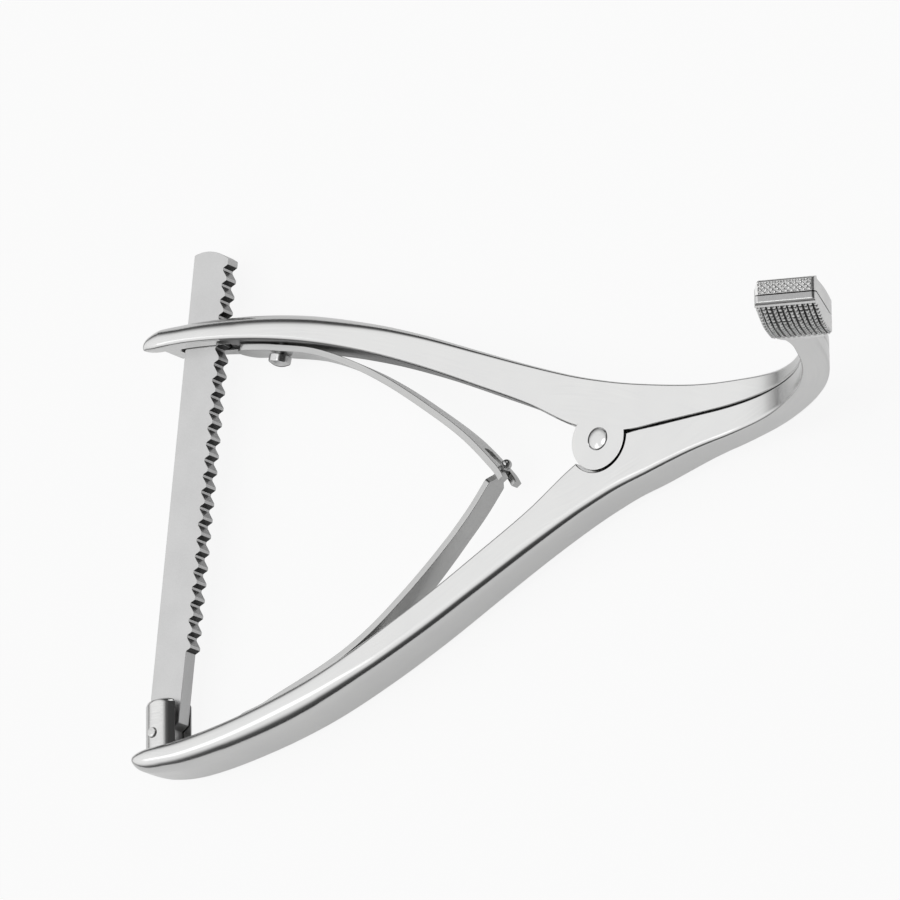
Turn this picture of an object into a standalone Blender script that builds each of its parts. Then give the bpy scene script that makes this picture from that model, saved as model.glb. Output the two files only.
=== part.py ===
"""Knee joint spreader: two forged arms on one pivot, two leaf springs and a ratchet bar.

The part lies on its flat back. +Z is the pivot axis, +X runs from the pivot to the jaws
and +Y is the side of the upper arm. The lower arm is the fixed body.
"""

import math

import bmesh
import bpy
from mathutils import Matrix, Vector

MM = 0.001

# Gaps
RUN_GAP = 0.3                # between two pieces that touch or slide
HALF_GAP = RUN_GAP / 2.0

# Arms, from the tip of the handle to the start of the bent jaw
ARM_T = 10.8                 # thickness at the joint, along the pivot axis
GRIP_T = 13.6                # thickness of the handle at the grip
JOINT_Z = 1.6                # the back of the joint lies this far above the handles' back
JOINT_TOP = JOINT_Z + ARM_T
TIP_X = -133.7               # end of the upper handle
LOWER_EXTRA = 3.4            # the lower handle is this much longer
UPPER_SLIM = 0.9             # the upper handle is this much narrower near its end
NOSE_L = 9.0                 # length over which the lower handle thins from the back
UPPER_NOSE_L = 15.0          # and the upper handle
NOSE_THICK = 0.3             # share of the thickness left at the very end
NOSE_DROP = 1.4              # how far the near face drops at the very end
NOSE_ROUND_L = 5.5           # length over which the outer side is rounded
JAW_START_X = 31.9           # where the jaw begins to bend
THIN_START_X = 8.0           # where the joint's thickness begins to fall
THIN_L = 51.5                # length along the arm over which it falls to the stem's
IN_EDGE_R = 1.0              # rounding along the inner edges of an arm
BACK_EDGE_R = 2.0            # largest rounding of the outer edge at the back
# Rows of (x, inner side y, outer side y, near outer edge rounding)
ARM_ROWS = (
    (-136.2, 49.5, 54.9, 3.4),
    (-122.0, 49.1, 55.8, 4.6),
    (-104.0, 46.4, 53.7, 4.6),
    (-86.0, 42.0, 49.7, 4.2),
    (-68.0, 35.8, 43.6, 3.0),
    (-51.0, 28.4, 36.7, 2.0),
    (-34.0, 19.9, 28.9, 1.4),
    (-20.0, 12.6, 22.5, 1.0),
    (-8.0, 5.2, 17.4, 0.8),
    (0.0, 2.0, 14.5, 0.7),
    (8.0, 0.3, 12.0, 0.6),
    (18.0, 0.2, 9.5, 0.6),
    (26.0, HALF_GAP, 7.8, 0.6),
    (32.5, HALF_GAP, 6.8, 0.6),
)
ARM_STEPS = 44               # sections along the straight part of an arm

# Jaw, bent out of the plane of the handles toward +Z
JAW_R = 48.0                 # radius of the bend on its inner side
JAW_BEND = 67.0              # degrees
JAW_STEPS = 16
STEM_T = 6.2                 # thickness of the stem in the plane of the bend
STEM_Y = 4.5                 # outer side of the stem from the middle plane
STEM_L = 14.0                # straight stem between the bend and the pad

# Serrated pads
PAD_W = 14.0                 # across the stem
PAD_L = 20.6                 # along the stem
PAD_SHIFT = 0.4              # the pad's middle lies this far behind the stem's
PAD_LAP = 4.0                # the pad's root lies this far down the stem
PAD_CORNER = 3.0             # chamfer of the two root corners
PAD_TIP_R = 1.0              # rounding of the two tip corners
# Rows of (distance along the pad, outer side of the upper pad, of the lower pad)
PAD_ROWS = ((0.0, 3.7, 3.7), (9.5, 4.5, 4.5), (PAD_L, 3.6, 2.0))
TOOTH_COLS = 12
TOOTH_ROWS = 16
TOOTH_H = 0.45

# Lap joint and pivot
DISC_R = 7.4
DISC_GAP = 0.6               # gap round the disc in the recess of the other arm
DISC_SINK = 0.04             # the faces of the disc lie this far below the arm's faces
LAP_Z = JOINT_Z + ARM_T / 2.0
PIN_GAP = 0.08               # running clearance of a pin in its bore
PIN_R = 2.0
PIN_HEAD_R = 2.5
PIN_HEAD_DEEP = 1.3
PIN_DOME = 0.55
PIN_TAIL_R = 3.3             # flat rivet head on the back; the part rests on it
PIN_TAIL_EDGE = 0.4          # bevel of that head

# Ratchet bar, in its own frame: q runs up the bar from the hinge, p toward the jaws
BAR_T = 3.8
BAR_Z = 7.0                  # middle of the bar, near the middle of the grip
BAR_HINGE = (-130.7, -46.0)
BAR_LEAN = 7.0               # degrees from +Y toward the jaws
BAR_BACK = -4.4              # back edge
BAR_ROOT = 4.85              # tooth roots and front edge of the plain shank
BAR_TOOTH = 1.3              # tooth depth
BAR_TOP = 119.4              # crown of the arched top
BAR_CROWN = 0.33             # share of the width, from the back, where the crown lies
BAR_BACK_DROP = 0.7          # the top's back corner lies this far below the crown
BAR_FRONT_DROP = 2.3         # and its corner on the tooth side this far
BAR_TEETH = 25
BAR_PITCH = 3.94
BAR_FIRST_TIP = 115.6        # top of the upper tooth
BAR_HEEL_R = 3.4
BAR_HEEL_TOP = 3.0           # the shank begins to narrow to the heel here

# Slotted post that carries the bar
POST_R = 5.4
POST_TOP_Y = -36.6
POST_SHIFT = 0.7             # the post's axis lies this far ahead of the hinge
POST_DOME = 1.6
POST_SEAT_DEEP = 1.6         # the foot of the post sits this deep in the handle
POST_STUD_R = 2.4
POST_STUD_L = 2.6
POST_FLOOR_GAP = 0.35        # room under the heel of the bar
POST_SIDE_GAP = 0.25         # room beside the bar on each face
HINGE_PIN_R = 1.2
HINGE_PIN_PROUD = 0.6        # the near end of the cross pin stands out of the post

# Slot for the bar in the upper handle
SLOT_BEHIND = 1.9            # room behind the back of the bar at rest
SLOT_AHEAD = 4.3             # room ahead of its tooth tips, for the swing of the bar
SLOT_SIDE = 0.45             # room beside the bar on each face
LIP_L = 2.4                  # raised lip at the ends of the slot
LIP_H = 1.0
LIP_W = 9.4

# Leaf springs
LEAF_T = 1.6
LEAF_W = 7.4
LEAF_NARROW_W = 5.8
LEAF_PATH = (
    (-105.7, 44.8),
    (-100.0, 44.1),
    (-95.0, 43.1),
    (-84.0, 39.9),
    (-73.0, 35.5),
    (-62.5, 29.3),
    (-51.0, 20.2),
    (-40.0, 9.9),
    (-31.5, 0.4),
    (-29.2, -3.0),
)
TONGUE_PATH_END = (
    (-40.0, 9.9),
    (-33.6, 2.6),
    (-30.6, -0.8),
)
UPPER_SAG = 1.4              # the two leaves are bent a little differently
LOWER_SAG = 0.2
LEAF_FLEX = (-76.0, 37.3)    # where the free part of a leaf begins to bend
FORK_L = 11.5
FORK_SLOT_W = 3.0
TONGUE_L = 9.0
TONGUE_W = 2.2
KNOB_R = 1.25
SCREW_X = -95.7
SCREW_HEAD_R = 2.7
SCREW_HEAD_H = 2.0
SCREW_SHANK_R = 1.5
SCREW_SHANK_L = 3.6
SCREW_SLOT_W = 0.8
SCREW_SLOT_DEEP = 0.9


def start_scene():
    """Empty the scene and make the part's collection and the cutters' collection."""
    for obj in list(bpy.data.objects):
        bpy.data.objects.remove(obj, do_unlink=True)
    part = bpy.data.collections.new("knee_joint_spreader")
    cutters = bpy.data.collections.new("cutters")
    for coll in (part, cutters):
        bpy.context.scene.collection.children.link(coll)
    return part, cutters


def steel(name, color, rough):
    """One Principled metal."""
    mat = bpy.data.materials.new(name)
    mat.use_nodes = True
    bsdf = mat.node_tree.nodes["Principled BSDF"]
    bsdf.inputs["Base Color"].default_value = (*color, 1.0)
    bsdf.inputs["Metallic"].default_value = 1.0
    bsdf.inputs["Roughness"].default_value = rough
    return mat


def make(bm, name, mat, coll, origin=(0.0, 0.0, 0.0)):
    """Turn a bmesh in millimetres into an object whose origin is at the given point."""
    bmesh.ops.recalc_face_normals(bm, faces=bm.faces)
    bmesh.ops.translate(bm, verts=bm.verts, vec=-Vector(origin))
    bmesh.ops.scale(bm, verts=bm.verts, vec=(MM, MM, MM))
    mesh = bpy.data.meshes.new(name)
    bm.to_mesh(mesh)
    bm.free()
    obj = bpy.data.objects.new(name, mesh)
    obj.location = Vector(origin) * MM
    if mat is not None:
        mesh.materials.append(mat)
    coll.objects.link(obj)
    return obj


def cutter(bm, name):
    """A hidden helper for a boolean."""
    obj = make(bm, name, None, CUTTERS)
    obj.hide_render = True
    obj.display_type = "WIRE"
    return obj


def boolean(obj, tool, how):
    """Apply an exact boolean and keep the tool in the cutters' collection."""
    mod = obj.modifiers.new(how.lower(), "BOOLEAN")
    mod.operation = how
    mod.solver = "EXACT"
    mod.object = tool
    bpy.context.view_layer.update()
    depsgraph = bpy.context.evaluated_depsgraph_get()
    solid = bpy.data.meshes.new_from_object(obj.evaluated_get(depsgraph))
    obj.modifiers.clear()
    old = obj.data
    obj.data = solid
    name = old.name
    bpy.data.meshes.remove(old)
    solid.name = name
    clean = bmesh.new()
    clean.from_mesh(solid)
    bmesh.ops.remove_doubles(clean, verts=clean.verts, dist=0.000005)
    bmesh.ops.dissolve_degenerate(clean, edges=clean.edges, dist=0.000005)
    clean.to_mesh(solid)
    clean.free()


def cylinder(radius, start, end, segments=32, radius2=None):
    """A closed cylinder or cone between two points."""
    bm = bmesh.new()
    start = Vector(start)
    end = Vector(end)
    axis = end - start
    turn = axis.to_track_quat("Z", "Y").to_matrix().to_4x4()
    bmesh.ops.create_cone(
        bm,
        cap_ends=True,
        segments=segments,
        radius1=radius,
        radius2=radius if radius2 is None else radius2,
        depth=axis.length,
        matrix=Matrix.Translation((start + end) / 2.0) @ turn,
    )
    return bm


def box(low, high, turn=0.0, centre=(0.0, 0.0)):
    """A box between two corners, turned about Z through a centre (degrees)."""
    bm = bmesh.new()
    low = Vector(low)
    high = Vector(high)
    bmesh.ops.create_cube(bm, size=1.0)
    bmesh.ops.scale(bm, verts=bm.verts, vec=high - low)
    bmesh.ops.translate(bm, verts=bm.verts, vec=(low + high) / 2.0)
    if turn:
        middle = Vector((centre[0], centre[1], 0.0))
        spin = Matrix.Rotation(math.radians(turn), 3, "Z")
        bmesh.ops.rotate(bm, verts=bm.verts, cent=middle, matrix=spin)
    return bm


def prism(points, low, high, place):
    """A prism of a closed outline; place turns (u, v, w) into a point of the part."""
    bm = bmesh.new()
    bottom = [bm.verts.new(place(u, v, low)) for u, v in points]
    top = [bm.verts.new(place(u, v, high)) for u, v in points]
    bm.faces.new(bottom)
    bm.faces.new(list(reversed(top)))
    for i in range(len(points)):
        j = (i + 1) % len(points)
        bm.faces.new((bottom[i], bottom[j], top[j], top[i]))
    return bm


def between(rows, x, column):
    """Smooth value of a column of the rows at x (cubic with averaged slopes)."""
    xs = [row[0] for row in rows]
    ys = [row[column] for row in rows]
    x = min(max(x, xs[0]), xs[-1])
    k = 0
    while k < len(xs) - 2 and x > xs[k + 1]:
        k += 1

    def slope(i):
        low = max(i - 1, 0)
        high = min(i + 1, len(xs) - 1)
        return (ys[high] - ys[low]) / (xs[high] - xs[low])

    width = xs[k + 1] - xs[k]
    t = (x - xs[k]) / width
    h00 = (1 + 2 * t) * (1 - t) ** 2
    h10 = t * (1 - t) ** 2
    h01 = t * t * (3 - 2 * t)
    h11 = t * t * (t - 1)
    return h00 * ys[k] + h10 * width * slope(k) + h01 * ys[k + 1] + h11 * width * slope(k + 1)


def section(y_in, y_out, v_back, v_near, r_in, r_out):
    """Rounded section of an arm as (y, v) points, the same number for every section."""
    small = 0.49 * min(y_out - y_in, v_near - v_back)
    r_in = min(r_in, small)
    r_out = min(r_out, small * 2.0 - r_in)
    r_back = min(r_out, BACK_EDGE_R)
    points = []
    corners = (
        (y_in, v_back, r_in, 180.0, 3, 1.0, 1.0),
        (y_out, v_back, r_back, 270.0, 5, -1.0, 1.0),
        (y_out, v_near, r_out, 0.0, 5, -1.0, -1.0),
        (y_in, v_near, r_in, 90.0, 3, 1.0, -1.0),
    )
    for y, v, r, angle, steps, side_y, side_v in corners:
        for i in range(steps + 1):
            a = math.radians(angle + 90.0 * i / steps)
            points.append((y + side_y * r + r * math.cos(a), v + side_v * r + r * math.sin(a)))
    return points


def loft(rings):
    """Closed skin through rings of equal length, capped at both ends."""
    bm = bmesh.new()
    rows = [[bm.verts.new(p) for p in ring] for ring in rings]
    for low, high in zip(rows, rows[1:]):
        for i in range(len(low)):
            j = (i + 1) % len(low)
            bm.faces.new((low[i], low[j], high[j], high[i]))
    bm.faces.new(rows[0])
    bm.faces.new(list(reversed(rows[-1])))
    return bm


def near_face_z(x):
    """Height of the near face: level at the joint, rising a little to the grip."""
    t = min(max((-12.0 - x) / 92.0, 0.0), 1.0)
    return JOINT_TOP + (GRIP_T - JOINT_TOP) * t * t * (3.0 - 2.0 * t)


def arm_depth(run):
    """Thickness of an arm at a distance past the point where it begins to thin."""
    t = min(max(run / THIN_L, 0.0), 1.0)
    return ARM_T + (STEM_T - ARM_T) * t * t * (3.0 - 2.0 * t)


def back_face_z(x):
    """Height of the back: flat under the handles, raised at the joint and the jaws."""
    t = min(max((x + 85.0) / 70.0, 0.0), 1.0)
    return JOINT_Z * t * t * (3.0 - 2.0 * t) + ARM_T - arm_depth(x - THIN_START_X)


def jaw_point(along, across):
    """Point of the jaw's plane: distance along the bent inner side and across from it."""
    bend = math.radians(JAW_BEND)
    arc = JAW_R * bend
    angle = min(along / JAW_R, bend)
    x = JAW_START_X + JAW_R * math.sin(angle)
    z = JOINT_TOP + JAW_R * (1.0 - math.cos(angle))
    rest = max(along - arc, 0.0)
    x += rest * math.cos(angle) + across * math.sin(angle)
    z += rest * math.sin(angle) - across * math.cos(angle)
    return x, z


def quarter(run, length):
    """Quarter of an ellipse that rises from 0 to 1 over a length."""
    t = min(max(run / length, 0.0), 1.0)
    return math.sqrt(1.0 - (1.0 - t) ** 2)


def arm_skin(side):
    """Handle, joint block and bent jaw stem of one arm; side is +1 or -1 in Y."""
    rings = []
    tip = TIP_X if side > 0 else TIP_X - LOWER_EXTRA
    nose = 6
    for i in range(ARM_STEPS + 1):
        if i < nose:
            x = tip + NOSE_L * (1.0 - math.cos(math.pi / 2.0 * i / nose))
        else:
            x = tip + NOSE_L + (JAW_START_X - tip - NOSE_L) * (i - nose) / (ARM_STEPS - nose)
        y_in = between(ARM_ROWS, x, 1)
        y_out = between(ARM_ROWS, x, 2)
        r_out = between(ARM_ROWS, x, 3)
        near = near_face_z(x)
        if side > 0:
            y_out -= UPPER_SLIM * min(max((-60.0 - x) / 60.0, 0.0), 1.0)
        nose_l = UPPER_NOSE_L if side > 0 else NOSE_L
        share = NOSE_THICK + (1.0 - NOSE_THICK) * quarter(x - tip, nose_l)
        thick = (near - back_face_z(x)) * share
        near -= NOSE_DROP * (1.0 - quarter(x - tip, NOSE_ROUND_L))
        y_out = y_in + (y_out - y_in) * (0.35 + 0.65 * quarter(x - tip, NOSE_ROUND_L))
        ring = section(y_in, y_out, near - thick, near, IN_EDGE_R, r_out)
        rings.append([(x, side * y, z) for y, z in ring])
    arc = JAW_R * math.radians(JAW_BEND)
    y_in, y_start, r_out = (between(ARM_ROWS, JAW_START_X, k) for k in (1, 2, 3))
    for i in range(1, JAW_STEPS + 3):
        along = arc * i / JAW_STEPS if i <= JAW_STEPS else arc + STEM_L * (i - JAW_STEPS) / 2.0
        t = min(along / (arc * 0.8), 1.0)
        y_out = y_start + (STEM_Y - y_start) * t * t * (3.0 - 2.0 * t)
        if along > arc:
            y_out += (PAD_ROWS[0][1] - RUN_GAP - STEM_Y) * (along - arc) / STEM_L
        deep = arm_depth(JAW_START_X - THIN_START_X + along)
        ring = section(y_in, y_out, 0.0, deep, IN_EDGE_R * 0.6, r_out)
        placed = []
        for y, v in ring:
            x, z = jaw_point(along, deep - v)
            placed.append((x, side * y, z))
        rings.append(placed)
    return loft(rings)


def pad_place(side):
    """Map (along the pad, across the pad, distance from the middle plane) to the part."""
    arc = JAW_R * math.radians(JAW_BEND)

    def place(a, b, w):
        x, z = jaw_point(arc + STEM_L - PAD_LAP + a, b)
        return x, side * w, z

    return place


def pad_teeth(side):
    """Solid with a serrated outer side, larger than the pad; it is trimmed to the pad."""
    place = pad_place(side)
    bm = bmesh.new()
    low_b = (STEM_T - PAD_W) / 2.0 + PAD_SHIFT
    cols = TOOTH_COLS
    rows = TOOTH_ROWS
    step_a = (PAD_L + 2.0) / rows
    step_b = (PAD_W + 1.0) / cols
    start_b = low_b - 0.5

    def vertex(a, b, up):
        return bm.verts.new(place(a, b, between(PAD_ROWS, a, 1 if side > 0 else 2) - TOOTH_H + up))

    grid = []
    for r in range(rows + 1):
        grid.append([vertex(r * step_a - 0.4, start_b + c * step_b, 0.0) for c in range(cols + 1)])
    for r in range(rows):
        for c in range(cols):
            a = (r + 0.5) * step_a - 0.4
            b = start_b + (c + 0.5) * step_b
            peak = vertex(a, b, TOOTH_H)
            ring = (grid[r][c], grid[r][c + 1], grid[r + 1][c + 1], grid[r + 1][c])
            for i in range(4):
                bm.faces.new((ring[i], ring[(i + 1) % 4], peak))
    rim = [grid[0][c] for c in range(cols + 1)]
    rim += [grid[r][cols] for r in range(1, rows + 1)]
    rim += [grid[rows][c] for c in range(cols - 1, -1, -1)]
    rim += [grid[r][0] for r in range(rows - 1, 0, -1)]
    floor = [bm.verts.new((v.co.x, side * HALF_GAP, v.co.z)) for v in rim]
    for i in range(len(rim)):
        j = (i + 1) % len(rim)
        bm.faces.new((rim[j], rim[i], floor[i], floor[j]))
    bm.faces.new(floor)
    bmesh.ops.recalc_face_normals(bm, faces=bm.faces)
    return bm


def pad_outline():
    """Plan outline of a pad: rounded tip corners, chamfered root corners."""
    low_b = (STEM_T - PAD_W) / 2.0 + PAD_SHIFT
    high_b = low_b + PAD_W
    points = [(0.0, low_b + PAD_CORNER), (PAD_CORNER, low_b)]
    for b, start in ((low_b + PAD_TIP_R, 270.0), (high_b - PAD_TIP_R, 0.0)):
        for i in range(4):
            turn = math.radians(start + 30.0 * i)
            a = PAD_L - PAD_TIP_R + PAD_TIP_R * math.cos(turn)
            points.append((a, b + PAD_TIP_R * math.sin(turn)))
    return points + [(PAD_CORNER, high_b), (0.0, high_b - PAD_CORNER)]


def build_arm(name, side, mat):
    """One forged arm with its half of the lap joint and its serrated pad."""
    arm = make(arm_skin(side), name, mat, PART)
    teeth = pad_teeth(side)
    pad = cutter(teeth, name + "_pad")
    trim = prism(pad_outline(), -20.0, 20.0, pad_place(side))
    boolean(pad, cutter(trim, name + "_pad_outline"), "INTERSECT")
    boolean(arm, pad, "UNION")
    foot = (0, 0, JOINT_Z + DISC_SINK)
    head = (0, 0, JOINT_TOP - DISC_SINK)
    disc = cutter(cylinder(DISC_R, foot, head, 64), name + "_disc")
    boolean(arm, disc, "UNION")
    reach = DISC_R + DISC_GAP
    if side > 0:
        low, high = -1.0, LAP_Z + HALF_GAP
    else:
        low, high = LAP_Z - HALF_GAP, JOINT_TOP + 4.0
    recess = cutter(cylinder(reach, (0, 0, low), (0, 0, high), 64), name + "_recess")
    boolean(arm, recess, "DIFFERENCE")
    bore = cylinder(PIN_R + PIN_GAP, (0, 0, -1), (0, 0, JOINT_TOP + 1), 40)
    boolean(arm, cutter(bore, name + "_bore"), "DIFFERENCE")
    return arm


def screw_seat(side):
    """Point on the handle's inner side under the leaf screw and the direction out of it."""
    y = between(ARM_ROWS, SCREW_X, 1)
    y2 = between(ARM_ROWS, SCREW_X + 1.0, 1)
    tangent = Vector((1.0, side * (y2 - y), 0.0)).normalized()
    out = Vector((tangent.y, -tangent.x, 0.0)) * side
    z = near_face_z(SCREW_X) / 2.0
    return Vector((SCREW_X, side * y, z)), out


def slot_ends():
    """X of the two ends of the bar's slot, from the bar's edges at rest."""
    lean = math.radians(BAR_LEAN)
    ends = []
    for p, room in ((BAR_BACK, -SLOT_BEHIND), (BAR_ROOT + BAR_TOOTH, SLOT_AHEAD)):
        y = between(ARM_ROWS, BAR_HINGE[0], 1)
        q = (y - BAR_HINGE[1] + p * math.sin(lean)) / math.cos(lean)
        ends.append(BAR_HINGE[0] + p * math.cos(lean) + q * math.sin(lean) + room)
    return ends


def finish_arm(arm, side):
    """Holes for the leaf screw and for the post, or the slot and lips for the bar."""
    seat, out = screw_seat(side)
    deep = SCREW_SHANK_L + 1.0
    hole = cylinder(SCREW_SHANK_R + HALF_GAP, seat + out * 1.0, seat - out * deep, 24)
    boolean(arm, cutter(hole, arm.name + "_screw_hole"), "DIFFERENCE")
    if side < 0:
        x = BAR_HINGE[0] + POST_SHIFT
        top = -between(ARM_ROWS, x, 1) - POST_SEAT_DEEP - RUN_GAP
        socket = cylinder(POST_R + RUN_GAP, (x, top, BAR_Z), (x, top + 8.0, BAR_Z), 40)
        boolean(arm, cutter(socket, "post_seat"), "DIFFERENCE")
        end = top - POST_STUD_L
        stud = cylinder(POST_STUD_R + HALF_GAP, (x, top + 1.0, BAR_Z), (x, end, BAR_Z), 32)
        boolean(arm, cutter(stud, "stud_hole"), "DIFFERENCE")
        return
    half = LIP_W / 2.0
    slot_x0, slot_x1 = slot_ends()
    for x0, x1 in ((slot_x0 - LIP_L, slot_x0 + 0.5), (slot_x1 - 0.5, slot_x1 + LIP_L)):
        y = between(ARM_ROWS, (x0 + x1) / 2.0, 1)
        slope = between(ARM_ROWS, x1, 1) - between(ARM_ROWS, x0, 1)
        turn = math.degrees(math.atan2(slope, x1 - x0))
        middle = ((x0 + x1) / 2.0, y)
        lip = box((x0, y - LIP_H, BAR_Z - half), (x1, y + 1.5, BAR_Z + half), turn, middle)
        upright = [e for e in lip.edges if abs(e.verts[0].co.y - e.verts[1].co.y) > 1.0]
        bmesh.ops.bevel(lip, geom=upright, offset=0.7, segments=3, affect="EDGES")
        boolean(arm, cutter(lip, "slot_lip"), "UNION")
    half = BAR_T / 2.0 + SLOT_SIDE
    slot = box((slot_x0, 40.0, BAR_Z - half), (slot_x1, 60.0, BAR_Z + half))
    upright = [e for e in slot.edges if abs(e.verts[0].co.y - e.verts[1].co.y) > 1.0]
    bmesh.ops.bevel(slot, geom=upright, offset=0.8, segments=3, affect="EDGES")
    boolean(arm, cutter(slot, "bar_slot"), "DIFFERENCE")
    low = JOINT_TOP - PIN_HEAD_DEEP
    counter = cylinder(PIN_HEAD_R + HALF_GAP, (0, 0, low), (0, 0, JOINT_TOP + 1), 40)
    boolean(arm, cutter(counter, "pin_head_seat"), "DIFFERENCE")


def spin_profile(points, axis_start, axis_dir, steps=32):
    """Closed turned body from (radius, distance along the axis) points."""
    bm = bmesh.new()
    verts = [bm.verts.new((r, 0.0, h)) for r, h in points]
    edges = [bm.edges.new((a, b)) for a, b in zip(verts, verts[1:])]
    bmesh.ops.spin(
        bm,
        geom=verts + edges,
        cent=(0, 0, 0),
        axis=(0, 0, 1),
        angle=math.radians(360.0),
        steps=steps,
        use_merge=True,
    )
    bmesh.ops.remove_doubles(bm, verts=bm.verts, dist=0.001)
    turn = Vector(axis_dir).to_track_quat("Z", "Y").to_matrix().to_4x4()
    bmesh.ops.transform(bm, matrix=Matrix.Translation(axis_start) @ turn, verts=bm.verts)
    bmesh.ops.recalc_face_normals(bm, faces=bm.faces)
    return bm


def dome(radius, height, base, steps=5):
    """Profile points of a shallow dome that starts at a radius and ends on the axis."""
    ball = (radius * radius + height * height) / (2.0 * height)
    points = []
    for i in range(steps + 1):
        r = radius * (1.0 - i / steps)
        points.append((r, base + math.sqrt(ball * ball - r * r) - (ball - height)))
    return points


def build_pivot_pin(mat):
    """Pivot rivet: low domed head on the near side, flat head on the back."""
    head_seat = JOINT_TOP - PIN_HEAD_DEEP + HALF_GAP
    tail_seat = JOINT_Z - HALF_GAP
    points = [(0.0, 0.0), (PIN_TAIL_R - PIN_TAIL_EDGE, 0.0), (PIN_TAIL_R, PIN_TAIL_EDGE)]
    points += [(PIN_TAIL_R, tail_seat), (PIN_R, tail_seat)]
    points += [(PIN_R, head_seat), (PIN_HEAD_R, head_seat)]
    points += dome(PIN_HEAD_R, PIN_DOME, JOINT_TOP)
    return make(spin_profile(points, (0, 0, 0), (0, 0, 1), 40), "pivot_pin", mat, PART)


def bar_place(p, q, z):
    """Bar frame to the part."""
    lean = math.radians(BAR_LEAN)
    x = BAR_HINGE[0] + p * math.cos(lean) + q * math.sin(lean)
    y = BAR_HINGE[1] - p * math.sin(lean) + q * math.cos(lean)
    return x, y, BAR_Z + z


def bar_outline():
    """Outline of the ratchet bar, teeth with steep faces toward the hinge."""
    tip = BAR_ROOT + BAR_TOOTH
    points = []
    for i in range(10):
        t = i / 9.0
        drop = BAR_BACK_DROP if t < BAR_CROWN else BAR_FRONT_DROP
        reach = BAR_CROWN if t < BAR_CROWN else 1.0 - BAR_CROWN
        height = BAR_TOP - drop * ((t - BAR_CROWN) / reach) ** 2
        points.append((BAR_BACK + (tip - BAR_BACK) * t, height))
    for k in range(BAR_TEETH):
        q = BAR_FIRST_TIP - BAR_PITCH * k
        points.append((tip, q))
        points.append((BAR_ROOT, q - 0.75))
        points.append((BAR_ROOT, q - 1.35))
        if k < BAR_TEETH - 1:
            points.append((tip, q - BAR_PITCH + 0.75))
    points.append((BAR_ROOT, BAR_HEEL_TOP))
    for i in range(14):
        a = math.radians(25.0 - 230.0 * i / 13.0)
        points.append((BAR_HEEL_R * math.cos(a), BAR_HEEL_R * math.sin(a)))
    points.append((BAR_BACK, BAR_HEEL_TOP))
    return points


def build_bar(mat):
    """Ratchet bar with a hinge bore at its heel."""
    half = BAR_T / 2.0
    bar = prism(bar_outline(), -half, half, bar_place)
    obj = make(bar, "ratchet_bar", mat, PART, (*BAR_HINGE, BAR_Z))
    x, y = BAR_HINGE
    bore = cylinder(HINGE_PIN_R + PIN_GAP, (x, y, BAR_Z - 6), (x, y, BAR_Z + 6), 24)
    boolean(obj, cutter(bore, "bar_bore"), "DIFFERENCE")
    return obj


def build_post(mat):
    """Slotted round post on the lower handle with a stud pressed into the handle."""
    hinge_x, y = BAR_HINGE
    x = hinge_x + POST_SHIFT
    foot = -between(ARM_ROWS, x, 1) - POST_SEAT_DEEP
    height = POST_TOP_Y - foot
    points = [(0.0, -POST_STUD_L + 0.3), (POST_STUD_R, -POST_STUD_L + 0.3), (POST_STUD_R, 0.0)]
    points += [(POST_R, 0.0)] + dome(POST_R, POST_DOME, height - POST_DOME)
    body = spin_profile(points, (x, foot, BAR_Z), (0, 1, 0), 40)
    obj = make(body, "bar_post", mat, PART)
    half = BAR_T / 2.0 + POST_SIDE_GAP
    floor = y - BAR_HEEL_R - POST_FLOOR_GAP
    slot = box((x - 9, floor, BAR_Z - half), (x + 9, y + 12, BAR_Z + half))
    boolean(obj, cutter(slot, "post_slot"), "DIFFERENCE")
    low, high = BAR_Z - POST_R - 2.0, BAR_Z + POST_R + 2.0
    bore = cylinder(HINGE_PIN_R + PIN_GAP, (hinge_x, y, low), (hinge_x, y, high), 24)
    boolean(obj, cutter(bore, "post_bore"), "DIFFERENCE")
    return obj


def build_hinge_pin(mat):
    """Cross pin of the bar, flush with the post's back and a little proud of its near side."""
    x, y = BAR_HINGE
    low = -POST_R + 0.1
    high = POST_R + HINGE_PIN_PROUD
    points = [(0.0, low), (HINGE_PIN_R - 0.25, low), (HINGE_PIN_R, low + 0.25)]
    points += [(HINGE_PIN_R, high - 0.25), (HINGE_PIN_R - 0.25, high), (0.0, high)]
    body = spin_profile(points, (x, y, BAR_Z), (0, 0, 1), 24)
    return make(body, "bar_hinge_pin", mat, PART)


def sagged(path, sag):
    """The path with its free middle lowered toward the middle plane by the sag."""
    rows = []
    for x, y in path:
        t = min(max((x + 84.0) / 46.0, 0.0), 1.0)
        rows.append((x, y - sag * math.sin(math.pi * t)))
    return tuple(rows)


def path_points(path, count):
    """Evenly numbered points of a smooth curve through the path, with unit tangents."""
    points = []
    spans = len(path) - 1
    for i in range(count + 1):
        f = spans * i / count
        k = min(int(f), spans - 1)
        t = f - k
        p0 = Vector(path[max(k - 1, 0)])
        p1 = Vector(path[k])
        p2 = Vector(path[k + 1])
        p3 = Vector(path[min(k + 2, spans)])
        a = 2.0 * p1
        b = p2 - p0
        c = 2.0 * p0 - 5.0 * p1 + 4.0 * p2 - p3
        d = 3.0 * p1 - p0 - 3.0 * p2 + p3
        points.append(0.5 * (a + b * t + c * t * t + d * t * t * t))
    tangents = []
    for i, _ in enumerate(points):
        low = points[max(i - 1, 0)]
        high = points[min(i + 1, count)]
        tangents.append((high - low).normalized())
    return points, tangents


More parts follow.
